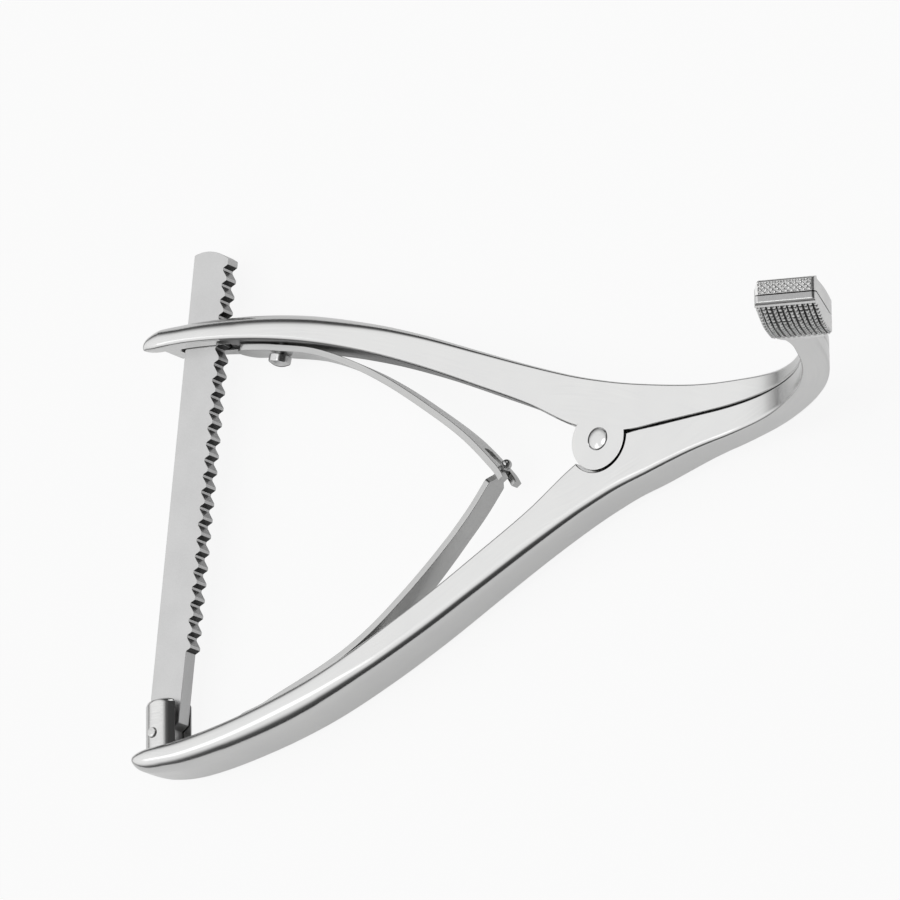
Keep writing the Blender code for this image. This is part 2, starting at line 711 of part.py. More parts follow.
def leaf_skin(path, side, count, width):
    """Bent strip; width gives the half width at a point of the path."""
    points, tangents = path_points(path, count)
    z = near_face_z(SCREW_X) / 2.0
    rings = []
    for i, (point, tangent) in enumerate(zip(points, tangents)):
        normal = Vector((-tangent.y, tangent.x)) * (LEAF_T / 2.0)
        half = width(point)
        upper = point + normal
        lower = point - normal
        corners = ((upper, half), (upper, -half), (lower, -half), (lower, half))
        rings.append([(p.x, side * p.y, z + w) for p, w in corners])
    return loft(rings)


def round_root(point):
    """Half width of the leaf near its rounded root end."""
    start = LEAF_PATH[0][0]
    half = LEAF_W / 2.0
    reach = min((point.x - start) / half, 1.0)
    return max(half * math.sqrt(max(1.0 - (1.0 - reach) ** 2, 0.0)), 0.6)


def build_upper_leaf(mat):
    """Leaf of the upper arm; its free end is a fork."""
    body = leaf_skin(sagged(LEAF_PATH, UPPER_SAG), 1.0, 36, round_root)
    z = near_face_z(SCREW_X) / 2.0
    obj = make(body, "upper_leaf_spring", mat, PART, (LEAF_FLEX[0], LEAF_FLEX[1], z))
    x0, y0 = LEAF_PATH[-1]
    half = FORK_SLOT_W / 2.0
    fork = box((x0 - FORK_L, y0 - 3.0, z - half), (x0 + 3.0, y0 + 3.0, z + half), -50.0, (x0, y0))
    boolean(obj, cutter(fork, "fork_slot"), "DIFFERENCE")
    leaf_hole(obj, 1.0)
    return obj


def build_lower_leaf(mat):
    """Leaf of the lower arm; its free end is a tongue with a knob."""
    path = sagged(LEAF_PATH[:7] + TONGUE_PATH_END, LOWER_SAG)

    def width(point):
        half = round_root(point)
        if point.x > -60.0:
            t = min((point.x + 60.0) / 16.0, 1.0)
            half += (LEAF_NARROW_W / 2.0 - half) * t
        reach = point.x - (path[-1][0] - TONGUE_L * 0.62)
        if reach > 0.0:
            t = min(reach / 1.2, 1.0)
            half += (TONGUE_W / 2.0 - half) * t
        return half

    body = leaf_skin(path, -1.0, 40, width)
    z = near_face_z(SCREW_X) / 2.0
    knob = bmesh.new()
    end = path[-1]
    spot = Matrix.Translation((end[0] + 0.5, -end[1] + 0.6, z))
    bmesh.ops.create_uvsphere(knob, u_segments=16, v_segments=10, radius=KNOB_R, matrix=spot)
    obj = make(body, "lower_leaf_spring", mat, PART, (LEAF_FLEX[0], -LEAF_FLEX[1], z))
    boolean(obj, cutter(knob, "knob"), "UNION")
    leaf_hole(obj, -1.0)
    return obj


def leaf_hole(obj, side):
    """Clearance hole of the leaf for its screw."""
    seat, out = screw_seat(side)
    hole = cylinder(SCREW_SHANK_R + HALF_GAP, seat - out * 4.0, seat + out * 8.0, 24)
    boolean(obj, cutter(hole, obj.name + "_hole"), "DIFFERENCE")


def leaf_offset():
    """Distance from the handle's inner side to the far side of the leaf at the screw."""
    seat, out = screw_seat(1.0)
    points, _ = path_points(LEAF_PATH, 200)
    best = min(points, key=lambda p: abs(p.x - SCREW_X - out.x))
    return (Vector((best.x, best.y, seat.z)) - seat).dot(out) + LEAF_T / 2.0


def build_leaf_screw(name, side, mat):
    """Slotted screw with a round, slightly domed head under the leaf."""
    seat, out = screw_seat(side)
    under = leaf_offset() + HALF_GAP
    points = [(0.0, -SCREW_SHANK_L), (SCREW_SHANK_R, -SCREW_SHANK_L), (SCREW_SHANK_R, under)]
    points += [(SCREW_HEAD_R, under), (SCREW_HEAD_R, under + SCREW_HEAD_H)]
    points += dome(SCREW_HEAD_R - 0.5, 0.35, under + SCREW_HEAD_H + 0.4)
    obj = make(spin_profile(points, seat, out, 32), name, mat, PART)
    tangent = Vector((-out.y, out.x, 0.0))
    top = seat + out * (under + SCREW_HEAD_H + 2.0)
    slot = bmesh.new()
    bmesh.ops.create_cube(slot, size=1.0)
    size = (SCREW_HEAD_R * 3.0, 2.0 * (SCREW_SLOT_DEEP + 1.25), SCREW_SLOT_W)
    bmesh.ops.scale(slot, verts=slot.verts, vec=size)
    frame = Matrix((tangent, out, Vector((0, 0, 1)))).transposed().to_4x4()
    tilt = Matrix.Rotation(math.radians(35.0), 4, "Y")
    bmesh.ops.transform(slot, matrix=Matrix.Translation(top) @ frame @ tilt, verts=slot.verts)
    boolean(obj, cutter(slot, name + "_slot"), "DIFFERENCE")
    return obj


def parent(child, to):
    """Parent a piece without moving it."""
    child.parent = to
    child.matrix_parent_inverse = to.matrix_world.inverted()


PART, CUTTERS = start_scene()


def main():
    """Build every piece."""
    arm_steel = steel("satin_forged_steel", (0.66, 0.67, 0.68), 0.30)
    upper_steel = steel("satin_forged_steel_upper", (0.66, 0.67, 0.68), 0.30)
    pin_steel = steel("polished_pin_steel", (0.74, 0.74, 0.75), 0.18)
    bar_steel = steel("matt_bar_steel", (0.62, 0.62, 0.63), 0.40)
    post_steel = steel("polished_post_steel", (0.72, 0.72, 0.73), 0.20)
    leaf_steel = steel("spring_steel", (0.68, 0.68, 0.69), 0.28)
    tongue_steel = steel("spring_steel_lower", (0.68, 0.68, 0.69), 0.28)
    screw_steel = steel("screw_steel", (0.70, 0.70, 0.71), 0.22)
    screw_steel_2 = steel("screw_steel_lower", (0.70, 0.70, 0.71), 0.22)
    cross_steel = steel("cross_pin_steel", (0.72, 0.72, 0.73), 0.22)

    lower = build_arm("lower_arm", -1.0, arm_steel)
    finish_arm(lower, -1.0)
    upper = build_arm("upper_arm", 1.0, upper_steel)
    finish_arm(upper, 1.0)
    fixed = (
        build_pivot_pin(pin_steel),
        build_post(post_steel),
        build_hinge_pin(cross_steel),
        build_leaf_screw("lower_leaf_screw", -1.0, screw_steel_2),
        build_lower_leaf(tongue_steel),
        build_bar(bar_steel),
        upper,
    )
    for piece in fixed:
        parent(piece, lower)
    for piece in (build_upper_leaf(leaf_steel), build_leaf_screw("upper_leaf_screw", 1.0, screw_steel)):
        parent(piece, upper)


main()
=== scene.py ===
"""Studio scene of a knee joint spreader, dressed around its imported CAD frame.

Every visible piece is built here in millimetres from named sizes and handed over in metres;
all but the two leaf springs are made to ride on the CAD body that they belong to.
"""

import logging
import math
from dataclasses import dataclass, field
from enum import Enum
from typing import Callable, Sequence

import bmesh
import bpy
from mathutils import Matrix, Vector


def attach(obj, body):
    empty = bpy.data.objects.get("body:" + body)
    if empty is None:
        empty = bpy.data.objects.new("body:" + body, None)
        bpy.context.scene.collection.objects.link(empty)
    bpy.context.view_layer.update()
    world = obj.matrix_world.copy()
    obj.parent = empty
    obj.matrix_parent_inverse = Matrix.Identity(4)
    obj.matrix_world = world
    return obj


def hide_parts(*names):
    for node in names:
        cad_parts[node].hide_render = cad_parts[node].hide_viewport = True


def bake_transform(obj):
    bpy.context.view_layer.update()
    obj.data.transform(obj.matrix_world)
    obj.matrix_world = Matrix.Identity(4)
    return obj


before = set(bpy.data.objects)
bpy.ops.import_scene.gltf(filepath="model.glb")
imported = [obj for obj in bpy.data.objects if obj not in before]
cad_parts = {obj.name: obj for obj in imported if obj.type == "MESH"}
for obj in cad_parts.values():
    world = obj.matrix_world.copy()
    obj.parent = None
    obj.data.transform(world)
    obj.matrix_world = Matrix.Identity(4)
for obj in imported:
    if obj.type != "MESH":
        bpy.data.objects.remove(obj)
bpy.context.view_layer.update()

log = logging.getLogger("spreader")

MM = 0.001
Point = tuple[float, float, float]
Flat = tuple[float, float]
Ring = list[Point]
ORIGIN: Point = (0.0, 0.0, 0.0)
ALONG_Y: Point = (0.0, 1.0, 0.0)
ALONG_Z: Point = (0.0, 0.0, 1.0)


class Combine(Enum):
    """How a tool is combined with a workpiece."""

    JOIN = "UNION"
    CUT = "DIFFERENCE"
    KEEP = "INTERSECT"


class Grain(Enum):
    """Where the lines of a finish run."""

    ALONG_PIECE = "along the piece, from its UV map"
    ALONG_X = "along the part's X axis"
    EVEN = "no direction"


class Side(Enum):
    """The arm that a piece belongs to; its value is the sign of Y."""

    UPPER = 1.0
    LOWER = -1.0

    @property
    def word(self) -> str:
        """Name of the side in lower case."""
        return self.name.lower()

    @property
    def body(self) -> str:
        """CAD body of this side's arm."""
        return f"{self.word}_body"


# Materials


def linear(hex_colour: str) -> tuple[float, float, float, float]:
    """Turn an sRGB hex colour into linear RGBA.

    Args:
        hex_colour: Colour as "#RRGGBB".

    Returns:
        Linear red, green, blue and an alpha of 1.
    """
    parts = []
    for start in (1, 3, 5):
        value = int(hex_colour[start : start + 2], 16) / 255.0
        parts.append(value / 12.92 if value <= 0.04045 else ((value + 0.055) / 1.055) ** 2.4)
    return (parts[0], parts[1], parts[2], 1.0)


def add_node(
    tree: bpy.types.NodeTree,
    kind: str,
    settings: dict[str, object] | None = None,
    inputs: dict[object, object] | None = None,
) -> bpy.types.Node:
    """Add a node, set its properties and set or link its inputs.

    Args:
        tree: Node tree that takes the node.
        kind: Blender's class name of the node.
        settings: Properties of the node by name.
        inputs: Values or output sockets by input name or index.

    Returns:
        The new node.
    """
    node = tree.nodes.new(kind)
    for name, value in (settings or {}).items():
        setattr(node, name, value)
    for name, value in (inputs or {}).items():
        if isinstance(value, bpy.types.NodeSocket):
            tree.links.new(value, node.inputs[name])
        else:
            node.inputs[name].default_value = value
    return node


@dataclass(frozen=True)
class SteelFinish:
    """Stainless steel surface: its colours, its gloss and the marks of its last tool."""

    name: str
    bright: str
    dull: str
    roughness: float
    spread: float
    grain: Grain
    line_mm: float
    stretch: float
    relief_mm: float
    cloud_mm: float = 9.0
    cloud_share: float = 0.35
    colour_span: Flat = (0.32, 0.68)
    gloss_span: Flat = (0.3, 0.7)
    bump_strength: float = 0.35

    def build(self) -> bpy.types.Material:
        """Make the node material.

        Returns:
            A metal whose fine lines vary gloss, colour and relief.
        """
        mat = bpy.data.materials.new(self.name)
        mat.use_nodes = True
        tree = mat.node_tree
        tree.nodes.clear()
        coords = self._coordinates(tree)
        lines = self._lines(tree, coords)
        place = add_node(tree, "ShaderNodeTexCoord")
        cloud = add_node(
            tree,
            "ShaderNodeTexNoise",
            inputs={
                "Vector": place.outputs["Object"],
                "Scale": 1.0 / (self.cloud_mm * MM),
                "Detail": 3.0,
                "Roughness": 0.5,
            },
        )
        both = add_node(
            tree,
            "ShaderNodeMix",
            {"data_type": "FLOAT"},
            {"Factor": self.cloud_share, "A": lines, "B": cloud.outputs["Fac"]},
        )
        colour = add_node(
            tree,
            "ShaderNodeValToRGB",
            inputs={"Fac": both.outputs["Result"]},
        )
        colour.color_ramp.elements[0].position = self.colour_span[0]
        colour.color_ramp.elements[0].color = linear(self.dull)
        colour.color_ramp.elements[1].position = self.colour_span[1]
        colour.color_ramp.elements[1].color = linear(self.bright)
        gloss = add_node(
            tree,
            "ShaderNodeMapRange",
            inputs={
                "Value": both.outputs["Result"],
                "From Min": self.gloss_span[0],
                "From Max": self.gloss_span[1],
                "To Min": self.roughness + self.spread,
                "To Max": self.roughness - self.spread,
            },
        )
        relief = add_node(
            tree,
            "ShaderNodeBump",
            inputs={"Strength": self.bump_strength, "Distance": self.relief_mm * MM, "Height": lines},
        )
        shader = add_node(
            tree,
            "ShaderNodeBsdfPrincipled",
            inputs={
                "Metallic": 1.0,
                "Base Color": colour.outputs["Color"],
                "Roughness": gloss.outputs["Result"],
                "Normal": relief.outputs["Normal"],
            },
        )
        add_node(tree, "ShaderNodeOutputMaterial", inputs={"Surface": shader.outputs["BSDF"]})
        return mat

    def _coordinates(self, tree: bpy.types.NodeTree) -> bpy.types.NodeSocket:
        """Coordinates in metres whose first axis follows the grain.

        Args:
            tree: Node tree of the material.

        Returns:
            A vector socket.
        """
        if self.grain is Grain.ALONG_PIECE:
            return add_node(tree, "ShaderNodeUVMap", {"uv_map": "grain"}).outputs["UV"]
        return add_node(tree, "ShaderNodeTexCoord").outputs["Object"]

    def _lines(self, tree: bpy.types.NodeTree, coords: bpy.types.NodeSocket) -> bpy.types.NodeSocket:
        """Noise drawn out along the grain, one line of it per `line_mm`.

        Args:
            tree: Node tree of the material.
            coords: Coordinates whose first axis follows the grain.

        Returns:
            A socket of 0 to 1.
        """
        across = 1.0 / (self.line_mm * MM)
        scaled = add_node(
            tree,
            "ShaderNodeMapping",
            inputs={"Vector": coords, "Scale": (across / self.stretch, across, across)},
        )
        noise = add_node(
            tree,
            "ShaderNodeTexNoise",
            inputs={
                "Vector": scaled.outputs["Vector"],
                "Scale": 1.0,
                "Detail": 4.0,
                "Roughness": 0.62,
            },
        )
        return noise.outputs["Fac"]


# Drop-forged stainless steel, belt ground and satin brushed along the arm: a soft mirror with
# faint lines. The real lines are about 0.05 mm apart, drawn at 0.3 mm so that they show.
SATIN_FORGING = SteelFinish(
    "satin_brushed_stainless_forging", "#DCDCDB", "#D6D6D6", 0.17, 0.015, Grain.ALONG_PIECE, 0.3, 60.0, 0.003
)
# Milled teeth left as cut: duller than the arms, with short tool marks that glint.
MILLED_TEETH = SteelFinish(
    "milled_stainless_serration", "#F0F0EF", "#DADADA", 0.3, 0.05, Grain.EVEN, 0.35, 1.0, 0.008
)
# Floor of the cuts between the teeth: painted shade, coloured dark grey for the light that is lost there.
GROOVE_PAINTED_SHADE = SteelFinish(
    "shaded_serration_groove", "#5A5A5A", "#3A3A3A", 0.34, 0.05, Grain.EVEN, 0.35, 1.0, 0.01
)
# Steep sides of the ratchet teeth: painted shade, coloured dark grey.
STEEP_GULLET_PAINTED_SHADE = SteelFinish(
    "ratchet_gullet_steep_painted_shade", "#4A4A4A", "#333333", 0.3, 0.04, Grain.EVEN, 0.3, 1.0, 0.008
)
# Sloped sides of the ratchet teeth: painted shade, coloured greyer than the bar's faces.
SLOPED_GULLET_PAINTED_SHADE = SteelFinish(
    "ratchet_gullet_sloped_painted_shade", "#B4B4B4", "#9A9A9A", 0.3, 0.04, Grain.EVEN, 0.3, 1.0, 0.008
)
# Inner side of the upper handle beside the leaf, and a face in the bar's slot: painted shade, coloured dark
# grey and rougher than the arm.
INNER_SIDE_PAINTED_SHADE = SteelFinish(
    "inner_side_painted_shade", "#929292", "#808080", 0.36, 0.05, Grain.ALONG_PIECE, 0.3, 60.0, 0.004
)
# Blunt end of the lower pad: painted shade, coloured greyer than the teeth.
PAD_END_PAINTED_SHADE = SteelFinish(
    "pad_end_painted_shade", "#D6D6D6", "#C4C4C4", 0.26, 0.04, Grain.EVEN, 0.3, 1.0, 0.006
)
# Polished rivet head: nearly a mirror.
POLISHED_RIVET = SteelFinish(
    "polished_stainless_rivet", "#DEDEDD", "#D2D2D2", 0.13, 0.02, Grain.EVEN, 0.5, 1.0, 0.006
)
# Glass-beaded stainless bar: an even matt grey with a very fine grain.
BEADED_BAR = SteelFinish(
    "glass_beaded_stainless_bar", "#CECECE", "#C4C4C4", 0.36, 0.04, Grain.EVEN, 0.28, 1.0, 0.012
)
# Turned and polished stainless post: bright streaks down its round sides.
TURNED_POST = SteelFinish(
    "turned_polished_stainless_post", "#DDDDDC", "#CFCFCF", 0.15, 0.03, Grain.ALONG_X, 0.3, 30.0, 0.008
)
# Ground cross pin: an even, soft shine on its end.
GROUND_PIN = SteelFinish(
    "ground_stainless_pin", "#D8D8D7", "#C4C4C4", 0.2, 0.04, Grain.EVEN, 0.3, 1.0, 0.008
)
# Rolled spring steel strip, brushed along its length.
BRUSHED_SPRING = SteelFinish(
    "brushed_stainless_spring_strip", "#C2C2C1", "#B8B8B8", 0.2, 0.02, Grain.ALONG_PIECE, 0.3, 70.0, 0.003
)
# Turned stainless screw: rings from the lathe on a bright head.
TURNED_SCREW = SteelFinish(
    "turned_stainless_screw", "#D8D8D8", "#C6C6C6", 0.2, 0.04, Grain.EVEN, 0.3, 1.0, 0.008
)


# Mesh tools, all in millimetres


class Workpiece:
    """A mesh that is shaped in millimetres and handed to the frame in metres."""

    def __init__(self, name: str, shape: bmesh.types.BMesh) -> None:
        """Take over a bmesh.

        Args:
            name: Name of the piece.
            shape: Its mesh in millimetres, freed here.
        """
        bmesh.ops.recalc_face_normals(shape, faces=shape.faces)
        mesh = bpy.data.meshes.new(name)
        shape.to_mesh(mesh)
        shape.free()
        self.obj = bpy.data.objects.new(name, mesh)
        bpy.context.scene.collection.objects.link(self.obj)

    def _apply(self) -> None:
        """Turn the modifiers into plain mesh."""
        bpy.context.view_layer.update()
        depsgraph = bpy.context.evaluated_depsgraph_get()
        solid = bpy.data.meshes.new_from_object(self.obj.evaluated_get(depsgraph))
        self.obj.modifiers.clear()
        old = self.obj.data
        self.obj.data = solid
        bpy.data.meshes.remove(old)
        solid.name = self.obj.name

    def combine(self, tool: "Workpiece", how: Combine) -> "Workpiece":
        """Join, cut or keep with a tool, which is used up.

        Args:
            tool: The other mesh.
            how: What to do with it.

        Returns:
            This workpiece.
        """
        mod = self.obj.modifiers.new("combine", "BOOLEAN")
        mod.operation = how.value
        mod.solver = "EXACT"
        mod.object = tool.obj
        self._apply()
        mesh = tool.obj.data
        bpy.data.objects.remove(tool.obj)
        bpy.data.meshes.remove(mesh)
        return self

    def clean(self, reach: float = 0.004) -> "Workpiece":
        """Weld points closer than `reach` and drop faces without area.

        Args:
            reach: Distance in millimetres.

        Returns:
            This workpiece.
        """
        shape = bmesh.new()
        shape.from_mesh(self.obj.data)
        bmesh.ops.remove_doubles(shape, verts=shape.verts, dist=reach)
        bmesh.ops.dissolve_degenerate(shape, edges=shape.edges, dist=reach)
        shape.to_mesh(self.obj.data)
        shape.free()
        return self

    def soften(self, width: float, segments: int = 2, angle: float = 35.0) -> "Workpiece":
        """Round the sharp edges, as tumbling and polishing do.

        Args:
            width: Width of the rounding in millimetres.
            segments: Steps across it.
            angle: Edges sharper than this are rounded, in degrees.

        Returns:
            This workpiece.
        """
        mod = self.obj.modifiers.new("soften", "BEVEL")
        mod.width = width
        mod.segments = segments
        mod.limit_method = "ANGLE"
        mod.angle_limit = math.radians(angle)
        mod.miter_outer = "MITER_ARC"
        mod.use_clamp_overlap = True
        self._apply()
        return self

    def finish(
        self,
        finish: bpy.types.Material,
        body: str | None,
        slot: str,
        nodes: Sequence[str] = (),
        sharp: float = 38.0,
    ) -> bpy.types.Object:
        """Shade the piece, bring it to metres and let it ride on its body.

        Args:
            finish: Its material.
            body: CAD body that it moves with, or None, which leaves it unattached.
            slot: Name of a material slot; not used.
            nodes: CAD nodes that it stands for.
            sharp: Edges sharper than this stay crisp, in degrees.

        Returns:
            The finished object.
        """
        obj = self.obj
        mesh = obj.data
        mesh.materials.clear()
        mesh.materials.append(finish)
        mesh.polygons.foreach_set("use_smooth", [True] * len(mesh.polygons))
        mesh.polygons.foreach_set("material_index", [0] * len(mesh.polygons))
        mesh.set_sharp_from_angle(angle=math.radians(sharp))
        mod = obj.modifiers.new("even_shading", "WEIGHTED_NORMAL")
        mod.keep_sharp = True
        mod.weight = 60
        self._apply()
        obj.data.transform(Matrix.Scale(MM, 4))
        obj.data.update()
        if body is not None:
            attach(obj, body)
        if nodes:
            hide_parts(*nodes)
        log.info("%s: %d faces, rides on %s", obj.name, len(obj.data.polygons), body)
        return obj


def dress_faces(
    obj: bpy.types.Object, finish: bpy.types.Material, chosen: Callable[[Vector, Vector], bool]
) -> None:
    """Give some faces of a finished piece another finish.

    Args:
        obj: The piece.
        finish: The other finish.
        chosen: Says from a face's middle in millimetres and its normal whether it takes it.
    """
    mesh = obj.data
    mesh.materials.append(finish)
    index = len(mesh.materials) - 1
    count = 0
    for face in mesh.polygons:
        if chosen(face.center / MM, face.normal):
            face.material_index = index
            count += 1
    log.info("%s: %d faces take %s", obj.name, count, finish.name)


def loft(rings: Sequence[Ring]) -> bmesh.types.BMesh:
    """Closed skin through rings of equal length, with a UV map that follows it.

    Args:
        rings: Rings of points, from one end to the other.

    Returns:
        The skin; U runs along it and V round it, both in metres.
    """
    shape = bmesh.new()
    rows = [[shape.verts.new(p) for p in ring] for ring in rings]
    grain = shape.loops.layers.uv.new("grain")
    along = 0.0
    count = len(rings[0])
    for low, high in zip(rows, rows[1:]):
        middle_low = sum((v.co for v in low), Vector()) / count
        middle_high = sum((v.co for v in high), Vector()) / count
        step = (middle_high - middle_low).length * MM
        round_it = 0.0
        for i in range(count):
            j = (i + 1) % count
            face = shape.faces.new((low[i], low[j], high[j], high[i]))
            wide = (low[j].co - low[i].co).length * MM
            spots = (
                (along, round_it),
                (along, round_it + wide),
                (along + step, round_it + wide),
                (along + step, round_it),
            )
            for loop, spot in zip(face.loops, spots):
                loop[grain].uv = spot
            round_it += wide
        along += step
    shape.faces.new(rows[0])
    shape.faces.new(list(reversed(rows[-1])))
    return shape


def prism(
    points: Sequence[Flat], low: float, high: float, place: Callable[[float, float, float], Point]
) -> bmesh.types.BMesh:
    """Prism over a closed outline.

    Args:
        points: The outline in its own plane.
        low: Start along the third axis.
        high: End along the third axis.
        place: Turns (u, v, w) into a point of the part.

    Returns:
        The prism.
    """
    shape = bmesh.new()
    bottom = [shape.verts.new(place(u, v, low)) for u, v in points]
    top = [shape.verts.new(place(u, v, high)) for u, v in points]
    shape.faces.new(bottom)
    shape.faces.new(list(reversed(top)))
    for i in range(len(points)):
        j = (i + 1) % len(points)
        shape.faces.new((bottom[i], bottom[j], top[j], top[i]))
    return shape


def turned(points: Sequence[Flat], start: Point, axis: Point, steps: int = 72) -> bmesh.types.BMesh:
    """Body turned from (radius, distance along the axis) points.

    Args:
        points: Profile from one end of the axis to the other.
        start: Where distance 0 lies.
        axis: Direction of the axis.
        steps: Steps round.

    Returns:
        The closed body.
    """
    shape = bmesh.new()
    verts = [shape.verts.new((radius, 0.0, height)) for radius, height in points]
    edges = [shape.edges.new((a, b)) for a, b in zip(verts, verts[1:])]
    bmesh.ops.spin(
        shape,
        geom=verts + edges,
        cent=(0.0, 0.0, 0.0),
        axis=(0.0, 0.0, 1.0),
        angle=math.tau,
        steps=steps,
        use_merge=True,
    )
    bmesh.ops.remove_doubles(shape, verts=shape.verts, dist=0.0005)
    turn = Vector(axis).to_track_quat("Z", "Y").to_matrix().to_4x4()
    bmesh.ops.transform(shape, matrix=Matrix.Translation(start) @ turn, verts=shape.verts)
    return shape


def block(low: Point, high: Point, turn: Matrix | None = None, edge: float = 0.0) -> bmesh.types.BMesh:
    """Box with optional rounded upright edges, used to cut slots.

    Args:
        low: Lowest corner.
        high: Highest corner.
        turn: Placement applied last.
        edge: Rounding of the edges along Y.

    Returns:
        The box.
    """
    shape = bmesh.new()
    bmesh.ops.create_cube(shape, size=1.0)
    bmesh.ops.scale(shape, verts=shape.verts, vec=Vector(high) - Vector(low))
    bmesh.ops.translate(shape, verts=shape.verts, vec=(Vector(low) + Vector(high)) / 2.0)
    if edge:
        upright = [e for e in shape.edges if abs(e.verts[0].co.y - e.verts[1].co.y) > 1e-4]
        bmesh.ops.bevel(shape, geom=upright, offset=edge, segments=5, affect="EDGES")
    if turn is not None:
        bmesh.ops.transform(shape, matrix=turn, verts=shape.verts)
    return shape


def rod(radius: float, low: float, high: float, start: Point, axis: Point, steps: int) -> bmesh.types.BMesh:
    """Plain round rod, used to drill holes.

    Args:
        radius: Its radius.
        low: Its start along the axis.
        high: Its end along the axis.
        start: Where distance 0 lies.
        axis: Direction of the axis.
        steps: Steps round.

    Returns:
        The rod.
    """
    return turned([(0.0, low), (radius, low), (radius, high), (0.0, high)], start, axis, steps)


def dome(radius: float, height: float, base: float, steps: int = 10) -> list[Flat]:
    """Profile of a shallow dome.

    Args:
        radius: Radius at its foot.
        height: Height of its crown over the foot.
        base: Distance of the foot along the axis.
        steps: Steps from foot to crown.

    Returns:
        Points from the foot to the axis.
    """
    ball = (radius * radius + height * height) / (2.0 * height)
    points = []
    for i in range(steps + 1):
        r = radius * (1.0 - i / steps)
        points.append((r, base + math.sqrt(ball * ball - r * r) - (ball - height)))
    return points


def clamp(t: float) -> float:
    """Keep a share within 0 and 1."""
    return min(max(t, 0.0), 1.0)


def quarter(t: float) -> float:
    """Quarter of a circle that rises from 0 to 1."""
    t = clamp(t)
    return math.sqrt(1.0 - (1.0 - t) ** 2)


def smooth_step(t: float) -> float:
    """Ease from 0 to 1 with level ends."""
    t = clamp(t)
    return t * t * (3.0 - 2.0 * t)


# The arms


@dataclass(frozen=True)
class ArmPlan:
    """Sizes that both arms share, in millimetres."""

    half_gap: float = 0.15
    thick: float = 10.8
    grip_thick: float = 13.6
    joint_z: float = 1.6
    tip_x: float = -133.7
    lower_extra: float = 3.4
    upper_slim: float = 0.9
    nose_drop: float = 1.4
    nose_round: float = 5.5
    jaw_x: float = 31.9
    thin_x: float = 8.0
    thin_long: float = 51.5
    inner_round: float = 1.0
    back_round: float = 2.0
    jaw_radius: float = 48.0
    jaw_bend: float = 67.0
    stem_thick: float = 6.2
    stem_long: float = 14.0
    disc_radius: float = 7.4
    disc_gap: float = 0.6
    pin_radius: float = 2.0
    pin_head_radius: float = 2.5
    pin_head_deep: float = 1.3
    pin_play: float = 0.08
    near_rise_x: float = -12.0
    near_rise_long: float = 92.0
    back_rise_x: float = -85.0
    back_rise_long: float = 70.0
    rows: tuple[tuple[float, float, float, float], ...] = (
        (-136.2, 49.5, 54.9, 3.4),
        (-122.0, 49.1, 55.8, 4.6),
        (-104.0, 46.4, 53.7, 4.6),
        (-86.0, 42.0, 49.7, 4.2),
        (-68.0, 35.8, 43.6, 3.0),
        (-51.0, 28.4, 36.7, 2.0),
        (-34.0, 19.9, 28.9, 1.4),
        (-20.0, 12.6, 22.5, 1.0),
        (-8.0, 5.2, 17.4, 0.8),
        (0.0, 2.0, 14.5, 0.7),
        (8.0, 0.3, 12.0, 0.6),
        (18.0, 0.2, 9.5, 0.6),
        (26.0, 0.15, 7.8, 0.6),
        (32.5, 0.15, 6.8, 0.6),
    )

    @property
    def top(self) -> float:
        """Height of the near face at the joint."""
        return self.joint_z + self.thick

    @property
    def lap_z(self) -> float:
        """Height of the lap between the two arms."""
        return self.joint_z + self.thick / 2.0

    @property
    def jaw_arc(self) -> float:
        """Length of the bend along its inner side."""
        return self.jaw_radius * math.radians(self.jaw_bend)

    def at(self, x: float, column: int) -> float:
        """Smooth value of a column of the rows.

        Args:
            x: Place along the arm.
            column: 1 inner side, 2 outer side, 3 rounding of the outer edges.

        Returns:
            The value in millimetres.
        """
        xs = [row[0] for row in self.rows]
        ys = [row[column] for row in self.rows]
        x = min(max(x, xs[0]), xs[-1])
        k = 0
        while k < len(xs) - 2 and x > xs[k + 1]:
            k += 1

        def slope(i: int) -> float:
            """Slope of the curve at a row."""
            low = max(i - 1, 0)
            high = min(i + 1, len(xs) - 1)
            return (ys[high] - ys[low]) / (xs[high] - xs[low])

        width = xs[k + 1] - xs[k]
        t = (x - xs[k]) / width
        value = (1 + 2 * t) * (1 - t) ** 2 * ys[k]
        value += t * (1 - t) ** 2 * width * slope(k)
        value += t * t * (3 - 2 * t) * ys[k + 1]
        value += t * t * (t - 1) * width * slope(k + 1)
        return value

    def near_z(self, x: float) -> float:
        """Height of the near face at a place along the arm."""
        rise = smooth_step((self.near_rise_x - x) / self.near_rise_long)
        return self.top + (self.grip_thick - self.top) * rise

    def back_z(self, x: float) -> float:
        """Height of the back at a place along the arm."""
        rise = smooth_step((x - self.back_rise_x) / self.back_rise_long)
        return self.joint_z * rise + self.thick - self.depth(x - self.thin_x)

    def depth(self, run: float) -> float:
        """Thickness of an arm at a distance past the point where it begins to thin."""
        return self.thick + (self.stem_thick - self.thick) * smooth_step(run / self.thin_long)

    def jaw_point(self, along: float, across: float) -> Flat:
        """Point in the plane of the bent jaw.

        Args:
            along: Distance along the inner side of the bend.
            across: Distance from it toward the outer side.

        Returns:
            X and Z.
        """
        bend = math.radians(self.jaw_bend)
        angle = min(along / self.jaw_radius, bend)
        x = self.jaw_x + self.jaw_radius * math.sin(angle)
        z = self.top + self.jaw_radius * (1.0 - math.cos(angle))
        rest = max(along - self.jaw_arc, 0.0)
        x += rest * math.cos(angle) + across * math.sin(angle)
        z += rest * math.sin(angle) - across * math.cos(angle)
        return x, z


PLAN = ArmPlan()


